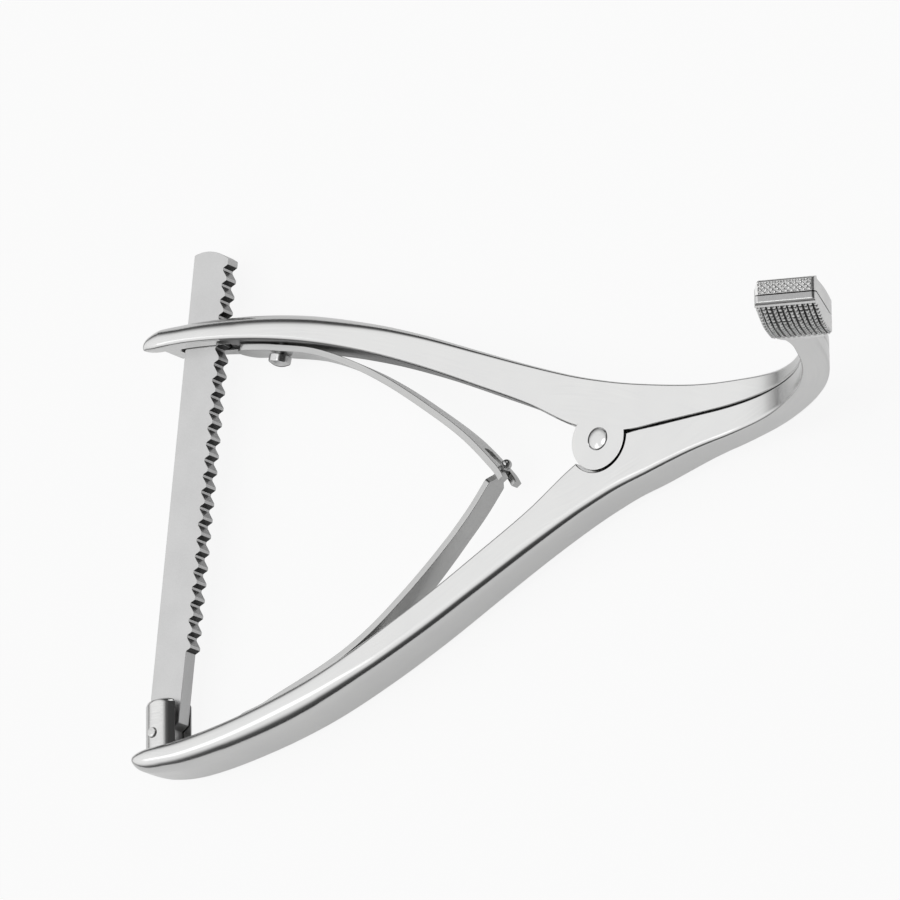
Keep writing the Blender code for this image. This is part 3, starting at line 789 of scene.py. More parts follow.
@dataclass
class JawPad:
    """Serrated pad at the end of a jaw, milled in rows and columns."""

    side: Side
    wide: float = 14.0
    long: float = 20.6
    lap: float = 4.0
    shift: float = 0.4
    root_y: float = 3.7
    belly_a: float = 9.5
    belly_y: float = 4.5
    upper_tip_y: float = 3.6
    lower_tip_y: float = 2.0
    corner: float = 3.0
    tip_corner: float = 1.0
    columns: int = 12
    tooth_rows: int = 16
    deep: float = 0.6
    samples: int = 8
    tip_round: float = 0.7
    plain_tip: float = 0.5
    arch_power: float = 1.6
    row_reach: float = 0.86
    row_wear: float = 0.12
    land: float = 0.3
    flank: float = 0.65
    root_plain: float = 0.6
    root_fade: float = 2.4
    side_bevel: float = 2.6
    cut_share: float = 0.6
    cut_margin: Point = (0.8, 1.1, 0.3)
    side_room: float = 0.5
    trim_reach: float = 20.0
    end_depth: float = 0.25
    wear_wave: Point = (12.9898, 78.233, 43758.5453)
    corner_steps: int = 8
    rim: float = 0.4
    hatch_deep: float = 0.42
    hatch_power: float = 2.2
    hatch_slant: float = 1.1
    hatch_proud: float = 0.3
    hatch_rim: float = 0.12

    @property
    def low_b(self) -> float:
        """Edge of the pad across the stem."""
        return (PLAN.stem_thick - self.wide) / 2.0 + self.shift

    def place(self, a: float, b: float, w: float) -> Point:
        """Point of the part for a place on the pad.

        Args:
            a: Distance along the pad from its root.
            b: Distance across it.
            w: Distance from the middle plane.

        Returns:
            X, Y and Z.
        """
        x, z = PLAN.jaw_point(PLAN.jaw_arc + PLAN.stem_long - self.lap + a, b)
        return x, self.side.value * w, z

    def outer(self, a: float) -> float:
        """Distance of the outer side from the middle plane: a shallow arch over the pad."""
        tip_y = self.upper_tip_y if self.side is Side.UPPER else self.lower_tip_y
        if a < self.belly_a:
            return self.belly_y + (self.root_y - self.belly_y) * (1.0 - a / self.belly_a) ** 2
        share = min((a - self.belly_a) / (self.long - self.belly_a), 1.0)
        return self.belly_y + (tip_y - self.belly_y) * share ** self.arch_power

    def outline(self) -> list[Flat]:
        """Outline of the pad as (along, across), with rounded tip and wide root corners."""
        low = self.low_b
        high = low + self.wide
        r = self.tip_corner
        points = [(0.0, low + self.corner), (self.corner, low)]
        for b, start in ((low + r, 270.0), (high - r, 0.0)):
            for i in range(self.corner_steps + 1):
                angle = math.radians(start + 90.0 * i / self.corner_steps)
                points.append((self.long - r + r * math.cos(angle), b + r * math.sin(angle)))
        return points + [(self.corner, high), (0.0, high - self.corner)]

    def depth(self, a: float, b: float) -> float:
        """Depth of the cutter's marks below the outer side.

        Args:
            a: Distance along the pad.
            b: Distance across it.

        Returns:
            Depth in millimetres.
        """
        column = ((b - self.low_b) / self.wide * self.columns) % 1.0
        row = (a / self.long * self.tooth_rows) % 1.0
        wear = self.wear(a, b)
        across_rows = (self.row_reach + self.row_wear * wear) * abs(2.0 * row - 1.0)
        groove = max(abs(2.0 * column - 1.0), across_rows)
        groove = min(max((groove - self.land) / self.flank, 0.0), 1.0)
        groove = max(groove, self.land * wear)
        edge = self.long - a
        plain = smooth_step((edge - self.tip_round - self.plain_tip) / self.rim)
        plain *= smooth_step((a - self.root_plain) / self.root_fade)
        depth = self.deep * groove * plain
        if self.side is Side.UPPER:
            depth = max(depth, self.side_bevel * (1.0 - (b - self.low_b)))
        if edge < self.tip_round:
            lean = self.tip_round - max(edge, 0.0)
            depth = max(depth, self.tip_round - math.sqrt(max(self.tip_round ** 2 - lean * lean, 0.0)))
        return depth

    def in_cut(self, middle: Vector, normal: Vector) -> bool:
        """Whether a face lies deep in a cut between the teeth, where shade is painted.

        Args:
            middle: Middle of the face.
            normal: Its normal.

        Returns:
            True for a face below three fifths of the depth.
        """
        a, b = self.spot(middle)
        root, low, high = self.cut_margin
        inside = root < a < self.long - self.tip_round and low < b - self.low_b < self.wide - high
        below = self.outer(a) - self.side.value * middle.y
        return inside and self.cut_share * self.deep < below < self.deep * 1.2 and abs(normal.y) > 0.1

    def on_end(self, middle: Vector, normal: Vector) -> bool:
        """Whether a face lies on the pad's blunt end, where shade is painted."""
        return self.spot(middle)[0] > self.long - self.end_depth and abs(normal.y) < 0.3

    def spot(self, point: Vector) -> Flat:
        """Place on the pad of a point of the part, as (along, across)."""
        bend = math.radians(PLAN.jaw_bend)
        x0, _, z0 = self.place(0.0, 0.0, 0.0)
        a = (point.x - x0) * math.cos(bend) + (point.z - z0) * math.sin(bend)
        b = (point.x - x0) * math.sin(bend) - (point.z - z0) * math.cos(bend)
        return a, b

    def wear(self, a: float, b: float) -> float:
        """How far a tooth is worn, from 0 to 1, different for each tooth."""
        column = int((b - self.low_b) / self.wide * self.columns)
        row = int(a / self.long * self.tooth_rows)
        by_column, by_row, gain = self.wear_wave
        return (math.sin(column * by_column + row * by_row + self.side.value) * gain) % 1.0

    def solid(self) -> Workpiece:
        """Pad with its milled outer side.

        Returns:
            The pad, to be joined to its arm.
        """
        shape = bmesh.new()
        rows = self.tooth_rows * self.samples
        cols = self.columns * self.samples
        low_a, high_a = -self.rim, self.long + self.rim
        low_b, high_b = self.low_b - self.side_room, self.low_b + self.wide + self.side_room
        top = []
        floor = []
        for r in range(rows + 1):
            a = low_a + (high_a - low_a) * r / rows
            top_row = []
            for c in range(cols + 1):
                b = low_b + (high_b - low_b) * c / cols
                top_row.append(shape.verts.new(self.place(a, b, self.outer(a) - self.depth(a, b))))
            top.append(top_row)
        for r in range(rows):
            for c in range(cols):
                shape.faces.new((top[r][c], top[r][c + 1], top[r + 1][c + 1], top[r + 1][c]))
        rim = [(0, c) for c in range(cols + 1)]
        rim += [(r, cols) for r in range(1, rows + 1)]
        rim += [(rows, c) for c in range(cols - 1, -1, -1)]
        rim += [(r, 0) for r in range(rows - 1, 0, -1)]
        for r, c in rim:
            a = low_a + (high_a - low_a) * r / rows
            b = low_b + (high_b - low_b) * c / cols
            floor.append(shape.verts.new(self.place(a, b, PLAN.half_gap)))
        for i in range(len(rim)):
            j = (i + 1) % len(rim)
            here = top[rim[i][0]][rim[i][1]]
            there = top[rim[j][0]][rim[j][1]]
            shape.faces.new((there, here, floor[i], floor[j]))
        shape.faces.new(floor)
        pad = Workpiece(f"{self.side.word}_pad_block", shape)
        trim = prism(self.outline(), -self.trim_reach, self.trim_reach, self.place)
        pad.combine(Workpiece("pad_trim", trim), Combine.KEEP)
        return pad.clean()

    def tip_hatching(self, pitch: float = 1.3, step: float = 0.11) -> bmesh.types.BMesh:
        """Crossed file cuts on the end of the upper pad.

        Args:
            pitch: Distance between cuts.
            step: Size of a face of the mesh.

        Returns:
            A thin plate whose outer side carries the cuts.
        """
        shape = bmesh.new()
        tip_w = self.outer(self.long) - self.tip_round
        low_w = PLAN.half_gap + 0.1
        long = self.wide - 2.0 * self.tip_corner
        count_u = int(long / step)
        count_w = int((tip_w - low_w) / step)
        top = []
        for i in range(count_u + 1):
            share = i / count_u
            row = []
            for k in range(count_w + 1):
                w = low_w + (tip_w - low_w) * k / count_w
                u = share * long
                one = abs(((u + w * self.hatch_slant) / pitch) % 1.0 * 2.0 - 1.0)
                two = abs(((u - w * self.hatch_slant) / pitch) % 1.0 * 2.0 - 1.0)
                cut = self.hatch_deep * max(one, two) ** self.hatch_power
                if min(i, count_u - i, k, count_w - k) == 0:
                    cut = self.hatch_rim
                a = self.long + self.hatch_proud - cut
                row.append(shape.verts.new(self.place(a, self.low_b + self.tip_corner + u, w)))
            top.append(row)
        for i in range(count_u):
            for k in range(count_w):
                shape.faces.new((top[i][k], top[i][k + 1], top[i + 1][k + 1], top[i + 1][k]))
        border = [e for e in shape.edges if e.is_boundary]
        grown = bmesh.ops.extrude_edge_only(shape, edges=border)
        fresh = [v for v in grown["geom"] if isinstance(v, bmesh.types.BMVert)]
        down = Vector(self.place(0.0, 0.0, 0.0)) - Vector(self.place(1.0, 0.0, 0.0))
        bmesh.ops.translate(shape, verts=fresh, vec=down * 0.5)
        return shape


@dataclass
class LeafSpring:
    """Strip of spring steel, screwed to one arm and hooked into the other leaf."""

    side: Side
    thick: float = 1.6
    wide: float = 7.4
    narrow: float = 5.8
    seat_gap: float = 0.35
    upper_sag: float = 1.4
    lower_sag: float = 0.2
    fork_long: float = 11.5
    fork_wide: float = 3.0
    tongue_long: float = 9.0
    tongue_wide: float = 2.2
    knob: float = 1.25
    screw_x: float = -95.7
    shank: float = 1.5
    hole_play: float = 0.15
    edge: float = 0.14
    root_slim: float = 0.8
    sag_start: float = -84.0
    sag_long: float = 46.0
    seated_x: float = -92.0
    seated_long: float = 8.0
    slim_long: float = 18.0
    taper_x: float = -60.0
    taper_long: float = 16.0
    neck_share: float = 0.33
    neck_long: float = 1.2
    root_half: float = 0.6
    fork_turn: float = -50.0
    fork_corner: float = 0.6
    fork_reach: float = 3.0
    knob_shift: Flat = (0.5, 0.6)
    bend_start: Flat = (-90.0, 42.4)
    bend_end: Flat = (-50.0, 19.6)
    path: tuple[Flat, ...] = (
        (-108.0, 45.25),
        (-100.0, 44.1),
        (-95.0, 43.1),
        (-84.0, 39.9),
        (-73.0, 35.5),
        (-62.5, 29.3),
        (-51.0, 20.2),
        (-40.0, 9.9),
        (-31.5, 0.4),
        (-29.2, -3.0),
    )
    tongue_end: tuple[Flat, ...] = ((-40.0, 9.9), (-33.6, 2.6), (-30.6, -0.8))
    steps: int = 110

    @property
    def mid_z(self) -> float:
        """Height of the middle of the leaf."""
        return PLAN.near_z(self.screw_x) / 2.0

    def shaped_path(self) -> tuple[Flat, ...]:
        """Middle line of this side's leaf, as if it were on the upper side."""
        if self.side is Side.UPPER:
            path, sag = self.path, self.upper_sag
        else:
            path, sag = self.path[:7] + self.tongue_end, self.lower_sag
        rows = []
        for x, y in path:
            t = clamp((x - self.sag_start) / self.sag_long)
            seated = PLAN.at(x, 1) - self.seat_gap - self.strip(x) / 2.0
            y += (seated - y) * smooth_step((self.seated_x - x) / self.seated_long)
            rows.append((x, y - sag * math.sin(math.pi * t)))
        return tuple(rows)

    def strip(self, x: float) -> float:
        """Thickness of the strip at a place along it; the lower leaf is ground thin at its root."""
        if self.side is Side.UPPER:
            return self.thick
        return self.thick - self.root_slim * smooth_step((self.sag_start - x) / self.slim_long)

    def line(self, path: Sequence[Flat], count: int) -> tuple[list[Vector], list[Vector]]:
        """Smooth curve through a path.

        Args:
            path: Points to pass.
            count: Number of steps.

        Returns:
            Points and unit tangents.
        """
        points = []
        spans = len(path) - 1
        for i in range(count + 1):
            f = spans * i / count
            k = min(int(f), spans - 1)
            t = f - k
            p0 = Vector(path[max(k - 1, 0)])
            p1 = Vector(path[k])
            p2 = Vector(path[k + 1])
            p3 = Vector(path[min(k + 2, spans)])
            a = 2.0 * p1
            b = p2 - p0
            c = 2.0 * p0 - 5.0 * p1 + 4.0 * p2 - p3
            d = 3.0 * p1 - p0 - 3.0 * p2 + p3
            points.append(0.5 * (a + b * t + c * t * t + d * t * t * t))
        tangents = []
        for i in range(count + 1):
            tangents.append((points[min(i + 1, count)] - points[max(i - 1, 0)]).normalized())
        return points, tangents

    def half_width(self, point: Vector, end_x: float) -> float:
        """Half the width of the leaf at a point of its middle line.

        Args:
            point: The point.
            end_x: X of the free end.

        Returns:
            Half width in millimetres.
        """
        half = self.wide / 2.0
        reach = min((point.x - self.path[0][0]) / half, 1.0)
        half = max(half * math.sqrt(max(1.0 - (1.0 - reach) ** 2, 0.0)), self.root_half)
        if self.side is Side.UPPER:
            return half
        if point.x > self.taper_x:
            half += (self.narrow / 2.0 - half) * min((point.x - self.taper_x) / self.taper_long, 1.0)
        past = point.x - (end_x - self.tongue_long * self.neck_share)
        if past > 0.0:
            half += (self.tongue_wide / 2.0 - half) * min(past / self.neck_long, 1.0)
        return half

    def screw_seat(self) -> tuple[Vector, Vector]:
        """Point on the handle under the screw and the direction out of it."""
        y = PLAN.at(self.screw_x, 1)
        y2 = PLAN.at(self.screw_x + 1.0, 1)
        tangent = Vector((1.0, self.side.value * (y2 - y), 0.0)).normalized()
        out = Vector((tangent.y, -tangent.x, 0.0)) * self.side.value
        return Vector((self.screw_x, self.side.value * y, PLAN.near_z(self.screw_x) / 2.0)), out

    def build(self, finish: bpy.types.Material, slot: str) -> bpy.types.Object:
        """Bend the strip and cut its free end and its screw hole.

        Args:
            finish: Its material.
            slot: Name of its material slot.

        Returns:
            The leaf.
        """
        path = self.shaped_path()
        points, tangents = self.line(path, self.steps)
        sign = self.side.value
        rings = []
        for point, tangent in zip(points, tangents):
            normal = Vector((-tangent.y, tangent.x))
            half_w = self.half_width(point, path[-1][0])
            half_t = self.strip(point.x) / 2.0
            ring = []
            for cu, cv, start in ((1, 1, 0), (-1, 1, 90), (-1, -1, 180), (1, -1, 270)):
                r = min(self.edge, half_w * 0.9)
                for step in range(4):
                    angle = math.radians(start + 90.0 * step / 3)
                    u = cu * (half_w - r) + r * math.cos(angle)
                    v = cv * (half_t - r) + r * math.sin(angle)
                    spot = point + normal * v
                    ring.append((spot.x, sign * spot.y, self.mid_z + u))
            rings.append(ring)
        leaf = Workpiece(f"{self.side.word}_leaf", loft(rings))
        if self.side is Side.UPPER:
            self._cut_fork(leaf)
        else:
            self._add_knob(leaf, path[-1])
        seat, out = self.screw_seat()
        hole = rod(self.shank + self.hole_play, 0.0, 12.0, tuple(seat - out * 4.0), tuple(out), 40)
        leaf.combine(Workpiece("leaf_hole", hole), Combine.CUT).clean()
        obj = leaf.finish(finish, None, slot, (f"{self.side.word}_leaf_spring",))
        z = self.mid_z
        start = Vector((self.bend_start[0], sign * self.bend_start[1], z)) * MM
        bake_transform(obj)
        return obj

    def _cut_fork(self, leaf: Workpiece) -> None:
        """Cut the slot that takes the other leaf's tongue."""
        x0, y0 = self.path[-1]
        half = self.fork_wide / 2.0
        reach = self.fork_reach
        turn = Matrix.Translation((x0, y0, 0.0)) @ Matrix.Rotation(math.radians(self.fork_turn), 4, "Z")
        low = (-self.fork_long, -reach, self.mid_z - half)
        high = (reach, reach, self.mid_z + half)
        leaf.combine(Workpiece("fork_slot", block(low, high, turn, self.fork_corner)), Combine.CUT)

    def _add_knob(self, leaf: Workpiece, end: Flat) -> None:
        """Put the round knob on the tongue's end."""
        shape = bmesh.new()
        shift_x, shift_y = self.knob_shift
        spot = Matrix.Translation((end[0] + shift_x, -end[1] + shift_y, self.mid_z))
        bmesh.ops.create_uvsphere(shape, u_segments=40, v_segments=24, radius=self.knob, matrix=spot)
        leaf.combine(Workpiece("knob", shape), Combine.JOIN)


@dataclass
class LeafScrew:
    """Slotted screw that holds a leaf to its arm."""

    leaf: LeafSpring
    head_radius: float = 2.7
    head_high: float = 2.0
    shank_long: float = 3.6
    slot_wide: float = 0.8
    slot_deep: float = 0.9
    slot_turn: float = 35.0
    head_gap: float = 0.15
    sunk: float = 0.75
    crown_high: float = 0.75
    edge: float = 0.09

    def build(self, finish: bpy.types.Material, slot: str) -> bpy.types.Object:
        """Turn the screw and saw its slot.

        Args:
            finish: Its material.
            slot: Name of its material slot.

        Returns:
            The screw.
        """
        seat, out = self.leaf.screw_seat()
        upper = LeafSpring(Side.UPPER)
        upper_seat, upper_out = upper.screw_seat()
        points, _ = upper.line(upper.path, 200)
        best = min(points, key=lambda p: abs(p.x - upper.screw_x - upper_out.x))
        under = (Vector((best.x, best.y, upper_seat.z)) - upper_seat).dot(upper_out)
        under += upper.thick / 2.0 + self.head_gap
        r = self.head_radius
        top = under + self.head_high
        profile = [(0.0, -self.shank_long), (self.leaf.shank, -self.shank_long)]
        if self.leaf.side is Side.LOWER:
            top = under - self.sunk
            profile += [(self.leaf.shank, under - 1.4), (r - 0.5, top + 0.3), (r - 0.5, top + 0.45)]
            profile += dome(r - 0.7, 0.06, top + 0.52, 4)
        else:
            profile += [(self.leaf.shank, under), (r - 0.25, under), (r, under + 0.25)]
            profile += [(r, top - 0.35), (r - 0.12, top - 0.1)]
            profile += dome(r - 0.35, self.crown_high, top, 8)
        piece = Workpiece(f"{self.leaf.side.word}_screw", turned(profile, tuple(seat), tuple(out), 64))
        tangent = Vector((-out.y, out.x, 0.0))
        place = Matrix.Translation(seat + out * (top + 2.0))
        frame_turn = Matrix((tangent, out, Vector((0.0, 0.0, 1.0)))).transposed().to_4x4()
        tilt = Matrix.Rotation(math.radians(self.slot_turn), 4, "Y")
        half = Vector((r * 1.5, self.slot_deep + 1.25, self.slot_wide / 2.0))
        saw = block(tuple(-half), tuple(half), place @ frame_turn @ tilt)
        piece.combine(Workpiece("screw_slot", saw), Combine.CUT).clean()
        piece.soften(self.edge)
        name = f"{self.leaf.side.word}_leaf_screw"
        return piece.finish(finish, self.leaf.side.body, slot, (name,))


@dataclass
class RatchetBar:
    """Toothed bar on the lower handle, with its post and cross pin."""

    hinge: Flat = (-130.7, -46.0)
    z: float = 7.0
    lean: float = 7.0
    thick: float = 3.8
    back: float = -4.4
    root: float = 4.85
    tooth: float = 1.3
    top: float = 119.4
    crown: float = 0.33
    back_drop: float = 0.7
    front_drop: float = 2.3
    teeth: int = 25
    pitch: float = 3.94
    first_tip: float = 115.6
    heel: float = 3.4
    heel_top: float = 3.0
    pin_radius: float = 1.2
    pin_proud: float = 0.6
    post_radius: float = 5.4
    post_top_y: float = -36.6
    post_shift: float = 0.7
    post_dome: float = 1.6
    post_seat: float = 1.6
    post_stud: float = 2.4
    post_play: float = 1.0
    floor_gap: float = 0.35
    slot_behind: float = 1.9
    slot_ahead: float = 4.3
    tooth_steep: float = 0.75
    tooth_root: float = 1.35
    heel_start: float = 25.0
    heel_turn: float = 230.0
    heel_steps: int = 27
    crown_steps: int = 30
    edge: float = 0.12
    pin_play: float = 0.08
    bore_reach: float = 9.0
    post_edge: float = 0.22
    post_slot_high: float = 12.0
    slot_play: float = 0.25

    def place(self, p: float, q: float, z: float) -> Point:
        """Point of the part for a place on the bar.

        Args:
            p: Across the bar, toward the jaws.
            q: Up the bar from its hinge.
            z: From its middle.

        Returns:
            X, Y and Z.
        """
        lean = math.radians(self.lean)
        x = self.hinge[0] + p * math.cos(lean) + q * math.sin(lean)
        y = self.hinge[1] - p * math.sin(lean) + q * math.cos(lean)
        return x, y, self.z + z

    def outline(self) -> list[Flat]:
        """Outline of the bar, with the steep side of each tooth toward the hinge."""
        tip = self.root + self.tooth
        points = []
        for i in range(self.crown_steps + 1):
            t = i / self.crown_steps
            drop = self.back_drop if t < self.crown else self.front_drop
            reach = self.crown if t < self.crown else 1.0 - self.crown
            height = self.top - drop * ((t - self.crown) / reach) ** 2
            points.append((self.back + (tip - self.back) * t, height))
        for k in range(self.teeth):
            q = self.first_tip - self.pitch * k
            points += [(tip, q), (self.root, q - self.tooth_steep), (self.root, q - self.tooth_root)]
            if k < self.teeth - 1:
                points.append((tip, q - self.pitch + self.tooth_steep))
        points.append((self.root, self.heel_top))
        for i in range(self.heel_steps + 1):
            angle = math.radians(self.heel_start - self.heel_turn * i / self.heel_steps)
            points.append((self.heel * math.cos(angle), self.heel * math.sin(angle)))
        points.append((self.back, self.heel_top))
        return points

    def _bore(self) -> Workpiece:
        """Tool for the cross pin's hole."""
        r, reach = self.pin_radius + self.pin_play, self.bore_reach
        return Workpiece("pin_bore", rod(r, -reach, reach, (*self.hinge, self.z), ALONG_Z, 40))

    def build_bar(self, finish: bpy.types.Material, slot: str) -> bpy.types.Object:
        """Cut the bar from plate and break its edges.

        Args:
            finish: Its material.
            slot: Name of its material slot.

        Returns:
            The bar.
        """
        half = self.thick / 2.0
        bar = Workpiece("ratchet", prism(self.outline(), -half, half, self.place))
        bar.combine(self._bore(), Combine.CUT).clean()
        bar.soften(self.edge, 2, 30.0)
        obj = bar.finish(finish, "bar", slot, ("ratchet_bar",))
        # Painted shade: the steep and sloped sides of the teeth take darker colours than the bar's faces.
        dress_faces(obj, STEEP_GULLET_PAINTED_SHADE.build(), lambda middle, normal: self.gullet(middle, normal) < -0.3)
        dress_faces(obj, SLOPED_GULLET_PAINTED_SHADE.build(), lambda middle, normal: self.gullet(middle, normal) > 0.3)
        return obj

    def gullet(self, middle: Vector, normal: Vector) -> float:
        """How far a tooth's face looks up the bar.

        Args:
            middle: Middle of the face.
            normal: Its normal.

        Returns:
            1 for straight up, -1 for straight down and 0 off the teeth.
        """
        lean = math.radians(self.lean)
        x, y = middle.x - self.hinge[0], middle.y - self.hinge[1]
        p = x * math.cos(lean) - y * math.sin(lean)
        q = x * math.sin(lean) + y * math.cos(lean)
        last = self.first_tip - self.pitch * (self.teeth - 1)
        if abs(normal.z) > 0.3 or p < self.root - 0.05 or not last - 2.0 < q < self.first_tip + 0.05:
            return 0.0
        return normal.x * math.sin(lean) + normal.y * math.cos(lean)

    def build_post(self, finish: bpy.types.Material, slot: str) -> bpy.types.Object:
        """Turn the post, saw its slot and drill it.

        Args:
            finish: Its material.
            slot: Name of its material slot.

        Returns:
            The post.
        """
        hinge_x, y = self.hinge
        x = hinge_x + self.post_shift
        foot = -PLAN.at(x, 1) - self.post_seat
        height = self.post_top_y - foot
        profile = [(0.0, -2.3), (self.post_stud, -2.3), (self.post_stud, 0.0), (self.post_radius, 0.0)]
        base = height - self.post_dome
        profile.append((self.post_radius, base - 0.6))
        profile += dome(self.post_radius, self.post_dome, base, 14)[1:]
        post = Workpiece("post", turned(profile, (x, foot, self.z), ALONG_Y, 80))
        half = self.thick / 2.0 + self.slot_play
        low = (x - self.bore_reach, y - self.heel - self.floor_gap, self.z - half)
        high = (x + self.bore_reach, y + self.post_slot_high, self.z + half + self.post_play)
        post.combine(Workpiece("post_slot", block(low, high)), Combine.CUT)
        post.combine(self._bore(), Combine.CUT).clean()
        post.soften(self.post_edge, 3)
        return post.finish(finish, "lower_body", slot, ("bar_post",))

    def build_pin(self, finish: bpy.types.Material, slot: str) -> bpy.types.Object:
        """Turn the cross pin with its rounded ends.

        Args:
            finish: Its material.
            slot: Name of its material slot.

        Returns:
            The pin.
        """
        r = self.pin_radius
        foot = -self.post_radius + 0.1
        head = self.post_radius + self.pin_proud
        profile = [(0.0, foot), (r - 0.2, foot), (r, foot + 0.2)]
        profile += [(r, head - 0.35), (r * 0.9, head - 0.12), (r * 0.55, head - 0.02), (0.0, head)]
        pin = Workpiece("cross_pin", turned(profile, (*self.hinge, self.z), ALONG_Z, 48))
        return pin.finish(finish, "lower_body", slot, ("bar_hinge_pin",))


@dataclass
class ForgedArm:
    """One forged arm: handle, its half of the lap joint, bent jaw and serrated pad."""

    side: Side
    bar: RatchetBar
    nose_steps: int = 16
    straight_steps: int = 150
    jaw_steps: int = 40
    slot_side: float = 0.45
    step_x: float = -128.6
    end_thin: float = 3.9
    end_thick: float = 10.6
    full_x: float = -112.0
    tail_long: float = 10.0
    tail_deep: float = 5.0
    joint_edge: float = 0.16
    nose: float = 9.0
    thin_slope: float = 0.35
    thin_rest: float = 1.1
    lower_round: float = 2.8
    lower_proud: float = 0.45
    proud_x: float = 2.0
    proud_long: float = 12.0
    grip_x: float = -58.0
    grip_long: float = 30.0
    split_x: float = -10.0
    split_long: float = 14.0
    back_edge: float = 0.5
    thin_nose: Flat = (0.35, 0.65)
    blunt_nose: Flat = (0.45, 0.55)
    blunt_long: float = 6.0
    wide_nose: Flat = (0.55, 0.45)
    near_nose: Flat = (0.75, 0.25)
    upper_lift: float = 0.8
    lower_lift: float = 1.2
    lower_lift_long: float = 8.0
    slim_x: float = -60.0
    slim_long: float = 60.0
    step_half: float = 0.03
    round_loss: float = 0.03
    round_x: float = -20.0
    soft_top: float = 2.5
    soft_x: float = -100.0
    soft_long: float = 25.0
    tail_wide: float = 1.2
    jaw_round: Flat = (1.24, 0.5)
    flare: float = 3.2
    flare_run: Flat = (6.5, 9.5)
    flare_power: float = 2.2
    spread: float = 1.3
    spread_run: Flat = (3.0, 6.0)
    spread_power: float = 1.6
    stem_steps: int = 16
    seat_play: float = 0.3
    stud_play: float = 0.15
    slot_round: float = 0.8
    leaf_clear: float = 15.0
    leaf_end_x: float = -8.0
    bend_spots: tuple[float, ...] = (0.0, 8.0, 16.0, 24.0, 33.0, 48.0)
    upper_sides: tuple[float, ...] = (5.95, 4.8, 3.75, 3.1, 2.9)
    lower_sides: tuple[float, ...] = (6.55, 6.1, 5.6, 5.05, 4.55)
    pad: JawPad = field(init=False)

    @property
    def split_edge(self) -> Flat:
        """Near inner edge along the split of the jaws, in y and in height."""
        return (0.5, 1.6) if self.side is Side.UPPER else (0.3, 0.3)

    @property
    def grip_crown(self) -> Flat:
        """What the grip adds to the rounding of the near inner edge, in y and in height."""
        return (0.6, 0.2) if self.side is Side.UPPER else (2.2, 0.8)

    def __post_init__(self) -> None:
        """Give the arm its pad."""
        self.pad = JawPad(self.side)

    def slot_x(self) -> Flat:
        """Both ends of the bar's slot, from the bar's edges at rest."""
        bar = self.bar
        lean = math.radians(bar.lean)
        ends = []
        for p, room in ((bar.back, -bar.slot_behind), (bar.root + bar.tooth, bar.slot_ahead)):
            q = (PLAN.at(bar.hinge[0], 1) - bar.hinge[1] + p * math.sin(lean)) / math.cos(lean)
            ends.append(bar.place(p, q, 0.0)[0] + room)
        return ends[0], ends[1]

    def section(self, y: Flat, v: Flat, r_in: float, crown: Flat, r_out: Flat, tail: Flat) -> list[Flat]:
        """Rounded section of the arm.

        Args:
            y: Inner and outer side.
            v: Back and near face.
            r_in: Rounding of the back inner edge.
            crown: Rounding of the near inner edge, in y and in height.
            r_out: Rounding of the near outer edge, in y and in height.
            tail: Rounding of the back outer edge, in y and in height.

        Returns:
            Points as (y, height).
        """
        wide, deep = y[1] - y[0], v[1] - v[0]
        r_in = min(r_in, 0.4 * wide, 0.3 * deep)
        crown = (min(crown[0], 0.45 * wide), min(crown[1], 0.45 * deep))
        out = (min(r_out[0], wide - crown[0] - 0.02), min(r_out[1], deep - r_in - 0.02))
        tail = (min(tail[0], wide - r_in - 0.02), min(tail[1], deep - out[1] - 0.02))
        tail = (max(tail[0], 0.02), max(tail[1], 0.01))
        corners = (
            (y[0], v[0], r_in, r_in, 180.0, 6, 1.0, 1.0),
            (y[1], v[0], tail[0], tail[1], 270.0, 12, -1.0, 1.0),
            (y[1], v[1], out[0], out[1], 0.0, 14, -1.0, -1.0),
            (y[0], v[1], crown[0], crown[1], 90.0, 10, 1.0, -1.0),
        )
        points = []
        for side, face, r_y, r_v, start, steps, side_y, side_v in corners:
            for i in range(steps + 1):
                angle = math.radians(start + 90.0 * i / steps)
                here = side + side_y * r_y + r_y * math.cos(angle)
                points.append((here, face + side_v * r_v + r_v * math.sin(angle)))
        return points

    def thickness(self, x: float, tip: float) -> float:
        """Thickness of the handle at a place along it.

        Args:
            x: The place.
            tip: X of the handle's end.

        Returns:
            Thickness in millimetres; the upper handle's end is thin up to the slot.
        """
        full = PLAN.near_z(x) - PLAN.back_z(x)
        if self.side is Side.LOWER:
            return full * (self.blunt_nose[0] + self.blunt_nose[1] * quarter((x - tip) / self.blunt_long))
        if x < self.step_x:
            return self.thin_end(x, tip)
        share = (x - self.step_x) / (self.full_x - self.step_x)
        return min(self.end_thick + (full - self.end_thick) * min(share, 1.0), full)

    def thin_end(self, x: float, tip: float) -> float:
        """Thickness of the upper handle's end, rounded toward its tip."""
        low, more = self.thin_nose
        return self.end_thin * (low + more * quarter((x - tip) / (self.step_x - tip)))

    def jaw_side(self, along: float, start: float) -> float:
        """Outer side of the bent jaw; the upper one is ground slimmer.

        Args:
            along: Distance along the bend.
            start: Outer side where the bend starts.

        Returns:
            Distance from the middle plane.
        """
        end = self.pad.root_y - 0.3
        spots = (*self.bend_spots, PLAN.jaw_arc + PLAN.stem_long)
        sides = (start, *(self.upper_sides if self.side is Side.UPPER else self.lower_sides), end)
        k = 0
        while k < len(spots) - 2 and along > spots[k + 1]:
            k += 1
        t = (along - spots[k]) / (spots[k + 1] - spots[k])
        p0, p1 = sides[max(k - 1, 0)], sides[k]
        p2, p3 = sides[k + 1], sides[min(k + 2, len(sides) - 1)]
        if k == 0:
            p0 = 2.0 * p1 - p2
        turn = (p2 - p0) * t
        turn += (2.0 * p0 - 5.0 * p1 + 4.0 * p2 - p3) * t * t
        turn += (3.0 * p1 - p0 - 3.0 * p2 + p3) * t ** 3
        return p1 + 0.5 * turn

